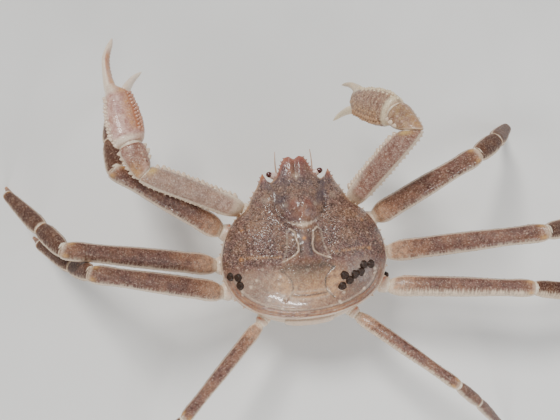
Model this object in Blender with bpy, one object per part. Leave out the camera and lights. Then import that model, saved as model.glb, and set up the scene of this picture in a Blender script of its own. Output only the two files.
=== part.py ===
"""Snow crab, adult male, life size, standing on its eight walking legs with both claws held up.

Body frame: +X to the crab's right, +Y to its front, +Z up, floor at z = 0. Lengths are metres,
written as millimetres times MM. Every plate of a limb is its own object. Neighbours meet face to
face across a thin cut of GAP, on the plane that halves the bend of the joint.
"""

import math

import bmesh
import bpy
import numpy as np
from mathutils import Vector
from mathutils.bvhtree import BVHTree

MM = 0.001
GAP = 0.3 * MM
WELD = 0.002 * MM  # vertices closer than this are one
LID_LIFT = 0.2 * MM  # how far the body cutter rises above the body, into the gap under the shell

# Driving sizes of the body
MARGIN_Z = 72 * MM  # height of the carapace margin above the floor
BASE_Z = 70 * MM  # flat underside of the carapace
DOME_RISE = 20 * MM
ROSTRUM_LIFT = 5 * MM
REAR_DROP = 1.5 * MM
RIM_DEPTH = 2.6 * MM  # thickness of the carapace at its edge
STERNUM_Z = 38 * MM

# Right half of the carapace outline, front to back, in mm. The first stretch is angular.
FRONT_OUTLINE = [
    (0.0, 72.0),  # shallow notch between the two horns of the rostrum
    (1.4, 72.9),
    (3.6, 74.5),  # horn tip
    (6.4, 73.8),
    (8.8, 71.2),
    (11.4, 65.6),
    (13.8, 60.6),  # root of the rostrum
    (18.4, 56.4),  # floor of the eye socket
    (21.4, 58.4),
    (24.2, 63.6),  # tip of the spine behind the eye
    (26.6, 58.6),
]
SIDE_OUTLINE = [
    (29.2, 53.6),
    (33.4, 47.4),
    (36.2, 41.6),
    (39.6, 37.0),  # notch between the liver and gill regions
    (47.6, 30.8),
    (54.6, 21.0),
    (58.8, 9.5),
    (60.0, -2.5),  # widest point
    (58.2, -13.5),
    (51.8, -26.0),
    (41.2, -35.0),
    (27.0, -40.8),
    (12.4, -43.6),
    (0.0, -44.3),
]
OUTLINE_CENTRE = (0.0, 8.0)
ROSTRUM_UNDERCUT = (55 * MM, 58 * MM)  # stretch of y over which the underside lifts
SIDE_SPLIT = 2  # straight pieces for each span of the side outline
DOME_RINGS = (1.0, 0.965, 0.9, 0.81, 0.7, 0.58, 0.45, 0.31, 0.16)
UNDER_RINGS = (0.985, 0.9, 0.74)

# Swellings of the back: x, y, spread in x, spread in y, rise, all in mm
SWELLINGS = (
    (0, 34, 10, 11, 4.0),  # stomach
    (0, 5, 6, 11, 1.6),  # heart
    (33, 10, 15, 18, 3.2),  # gills
    (25, -22, 12, 8, 1.6),  # rear of the gills
)
NECK_GROOVE = (0, 38, 18.0, 2.6, -1.8)  # arc: centre x, y, radius, spread, depth
HEART_GROOVE = (13.5, 2, 2.6, 12, -1.3)  # pair of lines: x, y, spreads, depth

# Right half of the outline of the body under the carapace, in mm, and how it shrinks downwards
BODY_OUTLINE = [
    (0, 53.5), (10, 53.5), (19, 52.0), (27, 47.5), (33, 39), (43, 29.5), (50, 19), (54, 8),
    (55, -3), (52.5, -14), (46, -25), (36, -33), (22, -38.6), (0, -41),
]
BODY_LEVELS = (  # z, share of x, share of y
    (BASE_Z - GAP, 1.0, 1.0),
    (64 * MM, 0.985, 0.99),
    (56 * MM, 0.90, 0.96),
    (48 * MM, 0.74, 0.87),
    (41.5 * MM, 0.56, 0.70),
    (STERNUM_Z, 0.44, 0.56),
)

# Walking legs, front pair to rear pair
MERUS, CARPUS, PROPODUS, DACTYL = range(4)
LEG_LENGTHS = {1: (90, 35, 60, 50), 2: (114, 40, 67, 53), 3: (103, 37, 60, 49), 4: (86, 27, 46, 36)}
LEG_GIRTH = {1: 1.07, 2: 1.0, 3: 0.98, 4: 0.66}
COXA_SCALE = {1: 0.94, 2: 1.0, 3: 0.98, 4: 0.66}
LEG_SOCKETS = {1: (44, 22, 54), 2: (46, 2, 54), 3: (46, -15, 54), 4: (29, -35, 53)}
LEG_HIPS = {1: (58, 27.5, 58), 2: (64, 2, 58), 3: (61, -21, 58), 4: (36, -44, 56)}
HIP_SWING = {"l3": (0, 3, 0), "r2": (0, -2, 0), "r3": (1, -4, 0)}  # of hips that swing, in mm
# Heading and climb of each plate in degrees. The dactyl has a heading only: it lands on the floor.
LEG_POSES = {
    "l1": ((149.5, 28.5), (99, -38), (97, -47), 93),
    "l2": ((174, 32), (133, -44), (132, -40), 126),
    "l3": ((171, 36), (147, -57), (141, -46), 135),
    "l4": ((-134, 16), (-140, -38), (-137, -47), -135),
    "r1": ((21.5, 38), (34, -38), (39, -52), 42),
    "r2": ((-3, 30), (12, -38), (18, -46), 22),
    "r3": ((-8, 11), (-7, -22), (-6, -36), -6),
    "r4": ((-43, 14), (-38, -36), (-40, -45), -40),
}
SQUARENESS = 0.88  # power of the oval section of a plate: below 1 squares it a little
# Share of the length, half width, half thickness in mm, for the second pair of legs
COXA_GIRTH = ((0, 8.2, 7.0), (0.55, 7.8, 6.6), (0.85, 6.6, 5.6), (1, 5.4, 4.6))
LEG_PROFILES = {
    MERUS: ((0, 5.0, 4.2), (0.05, 6.7, 5.3), (0.25, 7.3, 5.7), (0.55, 7.0, 5.3),
            (0.82, 6.1, 4.8), (0.95, 6.3, 5.0), (1, 5.5, 4.6)),
    CARPUS: ((0, 4.8, 4.1), (0.16, 5.8, 4.8), (0.5, 6.3, 5.0), (0.84, 6.1, 4.8), (1, 5.3, 4.3)),
    PROPODUS: ((0, 4.7, 3.9), (0.1, 5.8, 4.4), (0.35, 5.9, 4.2), (0.7, 4.8, 3.6),
               (0.93, 4.0, 3.2), (1, 3.6, 2.9)),
    DACTYL: ((0, 3.2, 2.6), (0.12, 3.5, 2.9), (0.4, 2.9, 2.4), (0.7, 2.1, 1.8),
             (0.9, 1.5, 1.4), (1, 1.3, 1.2)),
}
LEG_NAMES = {MERUS: "merus", CARPUS: "carpus", PROPODUS: "propodus", DACTYL: "dactyl"}
DACTYL_BOW = 2.2 * MM
MERUS_BOW = 1.5 * MM
LEG_SIDES = 12

# Claw limbs
CLAW_SOCKET = (32, 33, 57)
CLAW_SHOULDER = (42, 41, 62)
ARM, WRIST, PALM = range(3)
CLAW_LENGTHS = {ARM: 82, WRIST: 21, PALM: 43}
FIXED_FINGER = 44
MOVING_FINGER = 39
CLAW_POSES = {  # arm, wrist, palm, fixed finger, moving finger
    "l": ((162, 35), (112, 4), (100, -7), (92, -7), (70, -46)),
    "r": ((40, 57), (109, -30), (134, -46), (98, -56), (154, -72)),
}
CLAW_ROLL = {"l": 14, "r": 42}  # lifts the outer edge of the palm
CLAW_PROFILES = {
    ARM: ((0, 5.8, 5.2), (0.07, 7.3, 6.6), (0.3, 8.1, 7.3), (0.62, 8.2, 7.5),
          (0.9, 7.6, 7.0), (1, 6.5, 6.0)),
    WRIST: ((0, 6.2, 5.8), (0.22, 7.6, 7.0), (0.6, 8.9, 7.9), (0.85, 9.2, 7.8), (1, 8.2, 7.0)),
    PALM: ((0, 7.8, 6.8), (0.08, 10.4, 8.4), (0.25, 12.3, 9.3), (0.5, 12.4, 9.3),
           (0.8, 10.4, 8.2), (1, 8.4, 6.7)),
}
CLAW_COXA_GIRTH = ((0, 8.6, 8.0), (0.5, 8.4, 7.6), (0.82, 7.2, 6.6), (1, 6.2, 5.6))
CLAW_SIDES = 14
FINGER_PROFILE = ((0, 5.0, 5.0), (0.16, 5.0, 4.8), (0.3, 4.1, 4.0), (0.45, 3.0, 3.1),
                  (0.62, 2.6, 2.7), (0.8, 2.3, 2.3), (0.93, 1.7, 1.6), (1, 0.7, 0.7))
MOVING_PROFILE = ((0, 3.1, 4.2), (0.14, 3.2, 4.1), (0.4, 2.8, 3.1), (0.65, 2.2, 2.3),
                  (0.88, 1.4, 1.4), (1, 0.6, 0.6))
FINGER_SIDES = 10
FINGER_BOW = 4.2 * MM
MOVING_BOW = 1.0 * MM
FINGER_OFFSET = 3.0 * MM  # fixed finger, outwards from the axis of the palm
MOVING_OFFSET = 5.9 * MM  # moving finger, inwards
FINGER_SINK = 9 * MM  # how deep the fixed finger is rooted in the palm

# Spines and tubercles: a blunt cone of few sides, with its root sunk in the plate
SPINE_SIDES = 5
SPINE_SINK = 1.2 * MM
SEARCH_HEIGHT = 1.0  # rays that look for the back start this high, in metres
SEARCH_WIDTH = 50 * MM  # rays that look for a limb start this far from its axis
SPINE_LEAN = 0.45  # how far a spine on a limb leans towards the claw
SPINE_SIZE = (1.15, 2.3)  # root radius and height in mm
SPINE_ROWS = {  # turn round the section in degrees from the outer edge, first and last share, count
    ARM: ((180, 0.18, 0.82, 7), (0, 0.3, 0.88, 5), (68, 0.35, 0.84, 4)),
    WRIST: ((180, 0.62, 0.62, 1), (0, 0.35, 0.7, 2), (75, 0.4, 0.7, 2)),
    PALM: ((0, 0.12, 0.82, 7), (150, 0.25, 0.85, 6), (110, 0.3, 0.8, 4)),
}
TUBERCLE_SIZE = (1.25, 1.1)  # root radius and height in mm, before the draw
TUBERCLE_SPACING = 6.2 * MM
TUBERCLE_COUNT = 84
TUBERCLE_TRIES = 6000
TUBERCLE_FIELD = ((1.2, 60), (-40, 66))  # x and y of the right half of the back, in mm
TUBERCLE_EDGE = (2.4, 0.8)  # distance in x and y that must still lie on the back, in mm
TUBERCLE_SLOPE = 0.45  # least upward part of the surface normal
TUBERCLE_RANGE = (0.8, 0.5)  # least scale and spread of the draw
UPTURN = np.array([0, 0, 0.3])  # bends the direction of a tubercle upwards
MARGIN_SPINES = (  # share of the way along the side outline, root radius and height in mm
    (0.05, 1.2, 1.8), (0.11, 1.1, 1.6), (0.17, 1.0, 1.4), (0.24, 1.3, 2.0), (0.30, 1.3, 2.2),
    (0.36, 1.3, 2.2), (0.42, 1.3, 2.2), (0.48, 1.2, 2.0), (0.54, 1.2, 2.0), (0.60, 1.1, 1.7),
    (0.66, 1.0, 1.5), (0.72, 1.0, 1.3),
)
MARGIN_SPINE_DROP = 0.35  # share of the rim between its upper edge and the spines
MARGIN_SPINE_CLIMB = 0.25
EGG_CASES = (  # dark egg cases of a leech on the rear of the back: x, y in mm
    (40.0, -11.5), (45.6, -11.2), (37.6, -16.3), (33.0, -17.8), (25.2, -18.0), (28.6, -21.6),
    (23.1, -25.2), (-54.0, -10.3), (-48.6, -12.0), (-47.6, -17.6),
)
EGG_CASE_SIZE = (2.6, 1.6)  # radius and height in mm
EGG_CASE_SIDES = 8
EGG_CASE_RINGS = ((1, 0.45), (0.62, 0.9))  # share of the radius and of the height
EGG_CASE_CLEARANCE = 4.6 * MM
SEED = 7

COLOURS = {  # colour, roughness
    "shell_top": ((0.30, 0.18, 0.155, 1), 0.35),
    "shell_leg": ((0.42, 0.24, 0.19, 1), 0.35),
    "shell_claw": ((0.52, 0.33, 0.28, 1), 0.35),
    "belly": ((0.72, 0.60, 0.50, 1), 0.4),
    "eye": ((0.16, 0.03, 0.02, 1), 0.1),
    "feeler": ((0.60, 0.42, 0.33, 1), 0.4),
}


def clear_scene():
    """Removes everything that the startup file holds."""
    for obj in list(bpy.data.objects):
        bpy.data.objects.remove(obj)


def material_of(slot):
    """The named Principled material, made once."""
    found = bpy.data.materials.get(slot)
    if found:
        return found
    made = bpy.data.materials.new(slot)
    made.use_nodes = True
    colour, roughness = COLOURS[slot]
    shader = made.node_tree.nodes["Principled BSDF"]
    shader.inputs["Base Color"].default_value = colour
    shader.inputs["Roughness"].default_value = roughness
    shader.inputs["Metallic"].default_value = 0
    return made


def mesh_object(name, points, faces, slot=None):
    """A new smooth mesh object from points and faces, with its faces turned outwards."""
    mesh = bpy.data.meshes.new(name)
    mesh.from_pydata([tuple(p) for p in points], [], faces)
    work = bmesh.new()
    work.from_mesh(mesh)
    bmesh.ops.recalc_face_normals(work, faces=work.faces)
    work.to_mesh(mesh)
    work.free()
    mesh.shade_smooth()
    if slot:
        mesh.materials.append(material_of(slot))
    obj = bpy.data.objects.new(name, mesh)
    bpy.context.scene.collection.objects.link(obj)
    return obj


def loft(name, rings, slot=None):
    """A closed solid through a stack of rings of equal count, with a flat cap at each end."""
    rings = np.asarray(rings, float)
    levels, sides = rings.shape[:2]
    faces = []
    for level in range(levels - 1):
        for i in range(sides):
            j = (i + 1) % sides
            low, high = level * sides, (level + 1) * sides
            faces.append((low + i, low + j, high + j, high + i))
    faces.append(tuple(range(sides)))
    faces.append(tuple(range((levels - 1) * sides, levels * sides)))
    return mesh_object(name, rings.reshape(-1, 3), faces, slot)


def heading(azimuth, climb):
    """Unit vector that points along a compass azimuth from +X, lifted by the climb, in degrees."""
    a, e = math.radians(azimuth), math.radians(climb)
    return np.array([math.cos(a) * math.cos(e), math.sin(a) * math.cos(e), math.sin(e)])


def level_side(azimuth):
    """The level unit vector to the left of an azimuth."""
    a = math.radians(azimuth)
    return np.array([-math.sin(a), math.cos(a), 0.0])


def unit(vector):
    return np.asarray(vector, float) / np.linalg.norm(vector)


def rolled(side, axis, degrees):
    """The side vector turned about the axis."""
    angle = math.radians(degrees)
    return side * math.cos(angle) + np.cross(unit(axis), side) * math.sin(angle)


def halfway(first, second):
    """Normal of the plane that halves the bend between two directions."""
    return unit(unit(first) + unit(second))


def plate_rings(start, axis, length, side, profile, sides, cut_start, cut_end, bow=None):
    """Rings of a limb plate: an oval section carried along the axis from start.

    The end rings slide along the axis onto the two cutting planes through the joints, half a gap
    short of each. The tilt dies away towards the middle. The bow adds half a sine wave.
    """
    axis = unit(axis)
    up = np.cross(axis, side)
    share, wide, thick = (np.array(column, float) for column in zip(*profile))
    wide, thick = wide * MM, thick * MM
    turn = np.arange(sides) * 2 * np.pi / sides
    cosine, sine = np.cos(turn), np.sin(turn)
    across = np.sign(cosine) * np.abs(cosine) ** SQUARENESS
    over = np.sign(sine) * np.abs(sine) ** SQUARENESS
    offset = (wide[:, None, None] * across[None, :, None] * side
              + thick[:, None, None] * over[None, :, None] * up)
    first = (GAP / 2 - offset[0] @ cut_start) / (axis @ cut_start)
    last = (-GAP / 2 - offset[-1] @ cut_end) / (axis @ cut_end)
    fade_in, fade_out = (1 - share) ** 1.5, share ** 1.5
    along = share[:, None] * length + fade_in[:, None] * first + fade_out[:, None] * last
    points = np.asarray(start, float) + along[..., None] * axis + offset
    if bow is not None:
        points = points + np.sin(np.pi * share)[:, None, None] * np.asarray(bow)
    return points


def scaled(profile, factor):
    """The profile with its widths and thicknesses scaled."""
    return tuple((share, wide * factor, thick * factor) for share, wide, thick in profile)


def catmull(points, split):
    """Points on a smooth curve through the given ones, with each span cut into split pieces."""
    points = np.asarray(points, float)
    padded = np.vstack([2 * points[0] - points[1], points, 2 * points[-1] - points[-2]])
    made = []
    for a, b, c, d in zip(padded, padded[1:], padded[2:], padded[3:]):
        for step in range(split):
            t = step / split
            made.append(0.5 * (2 * b + (c - a) * t + (2 * a - 5 * b + 4 * c - d) * t * t
                               + (3 * b - a - 3 * c + d) * t ** 3))
    made.append(points[-1])
    return np.array(made)


def mirrored(half):
    """A closed outline from its right half, whose first and last points lie on the midline."""
    half = np.asarray(half, float)
    left = half[1:-1][::-1] * (-1, 1)
    return np.vstack([half, left])


def carapace_outline():
    """The closed outline of the carapace in metres: angular in front, smooth at the sides."""
    smooth = catmull(SIDE_OUTLINE, SIDE_SPLIT)
    return mirrored(np.vstack([FRONT_OUTLINE, smooth])) * MM


def smoothstep(low, high, value):
    t = np.clip((value - low) / (high - low), 0, 1)
    return t * t * (3 - 2 * t)


def margin_height(y):
    """Height of the edge of the carapace: it lifts along the rostrum and dips at the rear."""
    lift = ROSTRUM_LIFT * smoothstep(42 * MM, 72 * MM, y)
    return MARGIN_Z + lift - REAR_DROP * smoothstep(-20 * MM, -44 * MM, y)


def back_height(x, y, reach):
    """Height of the back, from the share of the way from the centre to the margin.

    A flattened dome, lowered towards the rostrum, plus the swellings and grooves of the regions.
    """
    dome = DOME_RISE * (1 - reach ** 2.4) ** 0.6
    dome = dome * (1 - 0.62 * smoothstep(43 * MM, 64 * MM, y))
    x, y = np.abs(x) / MM, y / MM
    relief = np.zeros_like(dome)
    for cx, cy, sx, sy, rise in SWELLINGS:
        relief += rise * np.exp(-((x - cx) / sx) ** 2 - ((y - cy) / sy) ** 2)
    cx, cy, radius, spread, depth = NECK_GROOVE
    ring = np.hypot(x - cx, y - cy)
    relief += depth * np.exp(-((ring - radius) / spread) ** 2) * (1 - smoothstep(38, 50, y))
    cx, cy, sx, sy, depth = HEART_GROOVE
    relief += depth * np.exp(-((x - cx) / sx) ** 2 - ((y - cy) / sy) ** 4)
    return margin_height(y * MM) + dome + relief * MM * (1 - reach ** 5)


def carapace_mesh():
    """The carapace: a polar grid of the back, a rim, and a flat underside that lifts in front."""
    outline = carapace_outline()
    centre = np.array(OUTLINE_CENTRE) * MM
    rings = []
    for reach in DOME_RINGS:
        flat = centre + (outline - centre) * reach
        rings.append(np.column_stack([flat, back_height(flat[:, 0], flat[:, 1], reach)]))
    rings.reverse()
    for reach in UNDER_RINGS:
        flat = centre + (outline - centre) * reach
        low = np.maximum(margin_height(flat[:, 1]) - RIM_DEPTH, BASE_Z)
        inner = smoothstep(*ROSTRUM_UNDERCUT, flat[:, 1])
        rings.append(np.column_stack([flat, BASE_Z + (low - BASE_Z) * inner]))
    sides = len(outline)
    points = np.vstack(rings)
    faces = []
    for level in range(len(rings) - 1):
        for i in range(sides):
            j = (i + 1) % sides
            low, high = level * sides, (level + 1) * sides
            faces.append((low + i, low + j, high + j, high + i))
    crown = back_height(np.array([centre[0]]), np.array([centre[1]]), np.array([0.0]))[0]
    points = np.vstack([points, [*centre, crown], [*centre, BASE_Z]])
    top, bottom = len(points) - 2, len(points) - 1
    last = (len(rings) - 1) * sides
    for i in range(sides):
        j = (i + 1) % sides
        faces.append((top, i, j))
        faces.append((bottom, last + i, last + j))
    return mesh_object("carapace", points, faces, "shell_top")


def clear_of_egg_cases(x, y):
    return all(math.hypot(x - ex, y - ey) * MM > EGG_CASE_CLEARANCE for ex, ey in EGG_CASES)


def looked_down_on(tree, x, y):
    """Where a ray straight down at x, y in mm meets the surface, and the normal there."""
    foot, normal, _, _ = tree.ray_cast(Vector((x * MM, y * MM, SEARCH_HEIGHT)), Vector((0, 0, -1)))
    return foot, normal


def back_tubercles(tree):
    """Tubercles over the back, alike on both sides, closest in front and along the flanks."""
    draw = np.random.default_rng(SEED)
    kept, made = [], []
    for _ in range(TUBERCLE_TRIES):
        x, y = (draw.uniform(*span) for span in TUBERCLE_FIELD)
        chance, size = draw.random(), draw.random()
        want = 0.15 + 0.6 * smoothstep(-12, 34, y) + 0.5 * smoothstep(24, 50, x)
        near = any(math.hypot(x - kx, y - ky) * MM < TUBERCLE_SPACING for kx, ky, _ in kept)
        if near or chance > want or not (clear_of_egg_cases(x, y) and clear_of_egg_cases(-x, y)):
            continue
        _, normal = looked_down_on(tree, x, y)
        edge, _ = looked_down_on(tree, x + TUBERCLE_EDGE[0], y + TUBERCLE_EDGE[1])
        if normal is None or edge is None or normal.z < TUBERCLE_SLOPE:
            continue
        kept.append((x, y, TUBERCLE_RANGE[0] + TUBERCLE_RANGE[1] * size))
        if len(kept) * 2 >= TUBERCLE_COUNT:
            break
    radius, height = TUBERCLE_SIZE
    for x, y, scale in kept:
        for sign in (-1, 1):
            foot, normal = looked_down_on(tree, sign * x, y)
            made.append(tubercle(np.array(foot), np.array(normal) + UPTURN,
                                 radius * scale * MM, height * scale * MM))
    return made


def margin_spines():
    """The row of small spines along each side of the margin."""
    side = catmull(SIDE_OUTLINE, SIDE_SPLIT) * MM
    made = []
    for share, radius, height in MARGIN_SPINES:
        place = share * (len(side) - 1)
        low = int(place)
        point = side[low] + (side[low + 1] - side[low]) * (place - low)
        along = unit(side[low + 1] - side[low])
        out = np.array([-along[1], along[0]])
        for sign in (-1, 1):
            foot = np.array([sign * point[0], point[1],
                             margin_height(point[1]) - RIM_DEPTH * MARGIN_SPINE_DROP])
            direction = np.array([sign * out[0], out[1], MARGIN_SPINE_CLIMB])
            made.append(spine(foot, direction, radius * MM, height * MM))
    return made


def egg_cases(tree):
    """The flat domes of the egg cases stuck to the rear of the back."""
    radius, height = (size * MM for size in EGG_CASE_SIZE)
    rings = [(radius, -SPINE_SINK)]
    rings += [(wide * radius, high * height) for wide, high in EGG_CASE_RINGS]
    rings.append((0, height))
    made = []
    for x, y in EGG_CASES:
        foot, normal = looked_down_on(tree, x, y)
        made.append(knob("egg_case", np.array(foot), np.array(normal), rings, EGG_CASE_SIDES))
    return made


def carapace():
    """The carapace with its tubercles, margin spines and egg cases fused on."""
    shell = carapace_mesh()
    tree = surface_of(shell)
    join_pieces(shell, back_tubercles(tree) + margin_spines() + egg_cases(tree))


def body_rings(grow=0.0, lift=0.0):
    """Rings of the body under the carapace, grown outwards by grow for use as a cutter."""
    outline = mirrored(catmull(BODY_OUTLINE, 2)) * MM
    rings = []
    for z, share_x, share_y in BODY_LEVELS:
        flat = outline * (share_x, share_y)
        out = flat / np.linalg.norm(flat, axis=1)[:, None]
        rings.append(np.column_stack([flat + out * grow, np.full(len(flat), z)]))
    rings[0][:, 2] += lift
    rings[-1][:, 2] -= grow
    return rings


def apply_boolean(obj, operation, other=None, collection=None):
    """Runs one Boolean, keeps its result as the mesh, and drops all but the largest surface."""
    modifier = obj.modifiers.new("join", "BOOLEAN")
    modifier.operation = operation
    if collection:
        modifier.operand_type = "COLLECTION"
        modifier.collection = collection
    else:
        modifier.object = other
    bpy.context.view_layer.update()
    graph = bpy.context.evaluated_depsgraph_get()
    made = bpy.data.meshes.new_from_object(obj.evaluated_get(graph))
    obj.modifiers.remove(modifier)
    obj.data = made
    keep_largest(obj)


def keep_largest(obj):
    """Keeps the closed surface that holds the most vertices."""
    work = bmesh.new()
    work.from_mesh(obj.data)
    bmesh.ops.remove_doubles(work, verts=work.verts, dist=WELD)
    seen, groups = set(), []
    for vertex in work.verts:
        if vertex in seen:
            continue
        group, stack = [], [vertex]
        seen.add(vertex)
        while stack:
            found = stack.pop()
            group.append(found)
            for edge in found.link_edges:
                other = edge.other_vert(found)
                if other not in seen:
                    seen.add(other)
                    stack.append(other)
        groups.append(group)
    groups.sort(key=len)
    for group in groups[:-1]:
        bmesh.ops.delete(work, geom=group, context="VERTS")
    work.to_mesh(obj.data)
    work.free()


def join_pieces(obj, pieces):
    """Unites the closed pieces with the object by one Boolean, then removes them."""
    group = bpy.data.collections.new("pieces")
    bpy.context.scene.collection.children.link(group)
    for piece in pieces:
        bpy.context.scene.collection.objects.unlink(piece)
        group.objects.link(piece)
    apply_boolean(obj, "UNION", collection=group)
    for piece in pieces:
        bpy.data.objects.remove(piece)
    bpy.data.collections.remove(group)


def cut_clear(obj, cutters):
    """Cuts the object back so that it meets its neighbours across the gap."""
    for cutter in cutters:
        apply_boolean(obj, "DIFFERENCE", other=cutter)


def make_cutter(name, rings):
    """A hidden solid that cuts others."""
    cutter = loft(name, rings)
    cutter.hide_render = True
    cutter.display_type = "WIRE"
    return cutter


def surface_of(obj):
    """A search tree of the object's faces."""
    work = bmesh.new()
    work.from_mesh(obj.data)
    tree = BVHTree.FromBMesh(work)
    work.free()
    return tree


def knob(name, foot, direction, rings, sides):
    """A closed stud of round rings, given as radius and height in metres, up to a point."""
    direction = unit(direction)
    across = unit(np.cross(direction, (0.31, 0.42, 0.85)))
    over = np.cross(direction, across)
    turn = np.arange(sides) * 2 * np.pi / sides
    circle = np.outer(np.cos(turn), across) + np.outer(np.sin(turn), over)
    points = [foot + direction * height + circle * radius for radius, height in rings[:-1]]
    points.append([foot + direction * rings[-1][1]])
    faces = [tuple(range(sides))]
    for level in range(len(rings) - 2):
        for i in range(sides):
            j = (i + 1) % sides
            low, high = level * sides, (level + 1) * sides
            faces.append((low + i, low + j, high + j, high + i))
    top, last = (len(rings) - 1) * sides, (len(rings) - 2) * sides
    for i in range(sides):
        faces.append((last + i, last + (i + 1) % sides, top))
    return mesh_object(name, np.vstack(points), faces)


def spine(foot, direction, radius, height):
    """A sharp spine, its root sunk in the plate that it stands on."""
    rings = ((radius * 1.15, -SPINE_SINK), (radius * 0.72, height * 0.42), (0, height))
    return knob("spine", foot, direction, rings, SPINE_SIDES)


def tubercle(foot, direction, radius, height):
    """A blunt tubercle, its root sunk in the plate that it stands on."""
    rings = ((radius * 1.1, -SPINE_SINK), (radius * 0.85, height * 0.6), (0, height))
    return knob("tubercle", foot, direction, rings, SPINE_SIDES)


def grow_limb_spines(obj, start, axis, length, outward, rows):
    """Fuses rows of spines to a claw plate, each row at one turn round the section."""
    axis = unit(axis)
    over = np.array([0, 0, 1.0]) - axis * axis[2]
    over = unit(over - outward * (over @ outward))
    tree = surface_of(obj)
    radius, height = SPINE_SIZE
    spines = []
    for turn, first, last, count in rows:
        angle = math.radians(turn)
        out = outward * math.cos(angle) + over * math.sin(angle)
        for share in np.linspace(first, last, count):
            inner = start + axis * length * share
            foot = np.array(tree.ray_cast(Vector(inner + out * SEARCH_WIDTH), Vector(-out))[0])
            grow = 0.85 + 0.3 * math.sin(7.0 * share + turn) ** 2  # uneven heights along a row
            spines.append(spine(foot, out + SPINE_LEAN * axis, radius * MM, height * grow * MM))
    join_pieces(obj, spines)


def leg(key, cutter):
    """One walking leg: coxa, merus, carpus, propodus and dactyl, from the socket to the floor."""
    pair = int(key[1])
    mirror = np.array([-1, 1, 1]) if key[0] == "l" else np.ones(3)
    girth = LEG_GIRTH[pair]
    socket = np.array(LEG_SOCKETS[pair]) * mirror * MM
    joint = (np.array(LEG_HIPS[pair]) * mirror + HIP_SWING.get(key, (0, 0, 0))) * MM
    pose = LEG_POSES[key]
    coxa_axis = joint - socket
    coxa_azimuth = math.degrees(math.atan2(coxa_axis[1], coxa_axis[0]))
    directions = [heading(*pose[part]) for part in (MERUS, CARPUS, PROPODUS)]
    azimuths = [pose[part][0] for part in (MERUS, CARPUS, PROPODUS)] + [pose[DACTYL]]
    joints = [joint]
    for part in (MERUS, CARPUS, PROPODUS):
        joints.append(joints[-1] + directions[part] * LEG_LENGTHS[pair][part] * MM)
    reach = LEG_LENGTHS[pair][DACTYL] * MM
    drop = math.degrees(math.asin(joints[-1][2] / reach))
    directions.append(heading(pose[DACTYL], -drop))

    cut = halfway(coxa_axis, directions[MERUS])
    coxa = loft(f"leg_{key}_coxa", plate_rings(
        socket, coxa_axis, np.linalg.norm(coxa_axis), level_side(coxa_azimuth),
        scaled(COXA_GIRTH, COXA_SCALE[pair]), LEG_SIDES, unit(coxa_axis), cut), "belly")
    cut_clear(coxa, [cutter])
    for part in (MERUS, CARPUS, PROPODUS, DACTYL):
        start_cut = cut
        if part == DACTYL:
            cut = np.array([0.0, 0.0, -1.0])
            bow = -DACTYL_BOW * girth * np.cross(directions[part], level_side(azimuths[part]))
        else:
            cut = halfway(directions[part], directions[part + 1])
            bow = (MERUS_BOW * girth * np.cross(directions[part], level_side(azimuths[part]))
                   if part == MERUS else None)
        rings = plate_rings(
            joints[part], directions[part], LEG_LENGTHS[pair][part] * MM,
            level_side(azimuths[part]), scaled(LEG_PROFILES[part], girth), LEG_SIDES,
            start_cut, cut, bow)
        if part == DACTYL:
            rings[-1][:, 2] = 0.0
        loft(f"leg_{key}_{LEG_NAMES[part]}", rings, "shell_leg")


def finger_rings(start, axis, length, side, profile, bow, cut):
    """Rings of a finger: a tapering oval along a bowed line, cut at its root on a plane."""
    rings = plate_rings(start, axis, length, side, profile, FINGER_SIDES, cut, unit(axis))
    share = np.array([row[0] for row in profile])
    return rings + (np.sin(np.pi * share ** 1.15))[:, None, None] * np.asarray(bow)


def claw(key, cutter):
    """One claw limb: coxa, arm, wrist, palm with its fixed finger, and the moving finger."""
    sign = -1 if key == "l" else 1
    mirror = np.array([sign, 1, 1])
    socket = np.array(CLAW_SOCKET) * mirror * MM
    joint = np.array(CLAW_SHOULDER) * mirror * MM
    pose = CLAW_POSES[key]
    coxa_axis = joint - socket
    coxa_azimuth = math.degrees(math.atan2(coxa_axis[1], coxa_axis[0]))
    directions = [heading(*angles) for angles in pose]
    cut = halfway(coxa_axis, directions[ARM])
    coxa = loft(f"claw_{key}_coxa", plate_rings(
        socket, coxa_axis, np.linalg.norm(coxa_axis), level_side(coxa_azimuth),
        CLAW_COXA_GIRTH, LEG_SIDES, unit(coxa_axis), cut), "belly")
    cut_clear(coxa, [cutter])
    names = {ARM: "merus", WRIST: "carpus", PALM: "palm"}
    for part in (ARM, WRIST, PALM):
        start_cut = cut
        cut = halfway(directions[part], directions[part + 1]) if part != PALM else directions[PALM]
        side = level_side(pose[part][0])
        if part == PALM:
            side = rolled(side, directions[part], -sign * CLAW_ROLL[key])
        outward = -sign * side
        length = CLAW_LENGTHS[part] * MM
        rings = plate_rings(
            joint, directions[part], length, side, CLAW_PROFILES[part], CLAW_SIDES,
            start_cut, cut)
        plate = loft(f"claw_{key}_{names[part]}", rings, "shell_claw")
        end = joint + directions[part] * length
        if part == PALM:
            add_fingers(key, plate, end, directions, outward)
        grow_limb_spines(plate, joint, directions[part], length, outward, SPINE_ROWS[part])
        joint = end


def add_fingers(key, palm, knuckle, directions, outward):
    """Fuses the fixed finger into the palm and sets the moving finger on the palm's end face."""
    palm_axis, fixed, moving = directions[PALM:]
    root = knuckle + outward * FINGER_OFFSET - palm_axis * FINGER_SINK
    tip = knuckle + outward * FINGER_OFFSET + fixed * FIXED_FINGER * MM
    axis = unit(tip - root)
    side = unit(outward - axis * (outward @ axis))
    horn = loft("fixed_finger", finger_rings(
        root, axis, np.linalg.norm(tip - root), side, FINGER_PROFILE, side * FINGER_BOW, axis))
    join_pieces(palm, [horn])
    seat = knuckle - outward * MOVING_OFFSET
    side = unit(outward - moving * (outward @ moving))
    loft(f"claw_{key}_dactyl", finger_rings(
        seat, moving, MOVING_FINGER * MM, side, MOVING_PROFILE, -side * MOVING_BOW,
        palm_axis), "shell_claw")


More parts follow.
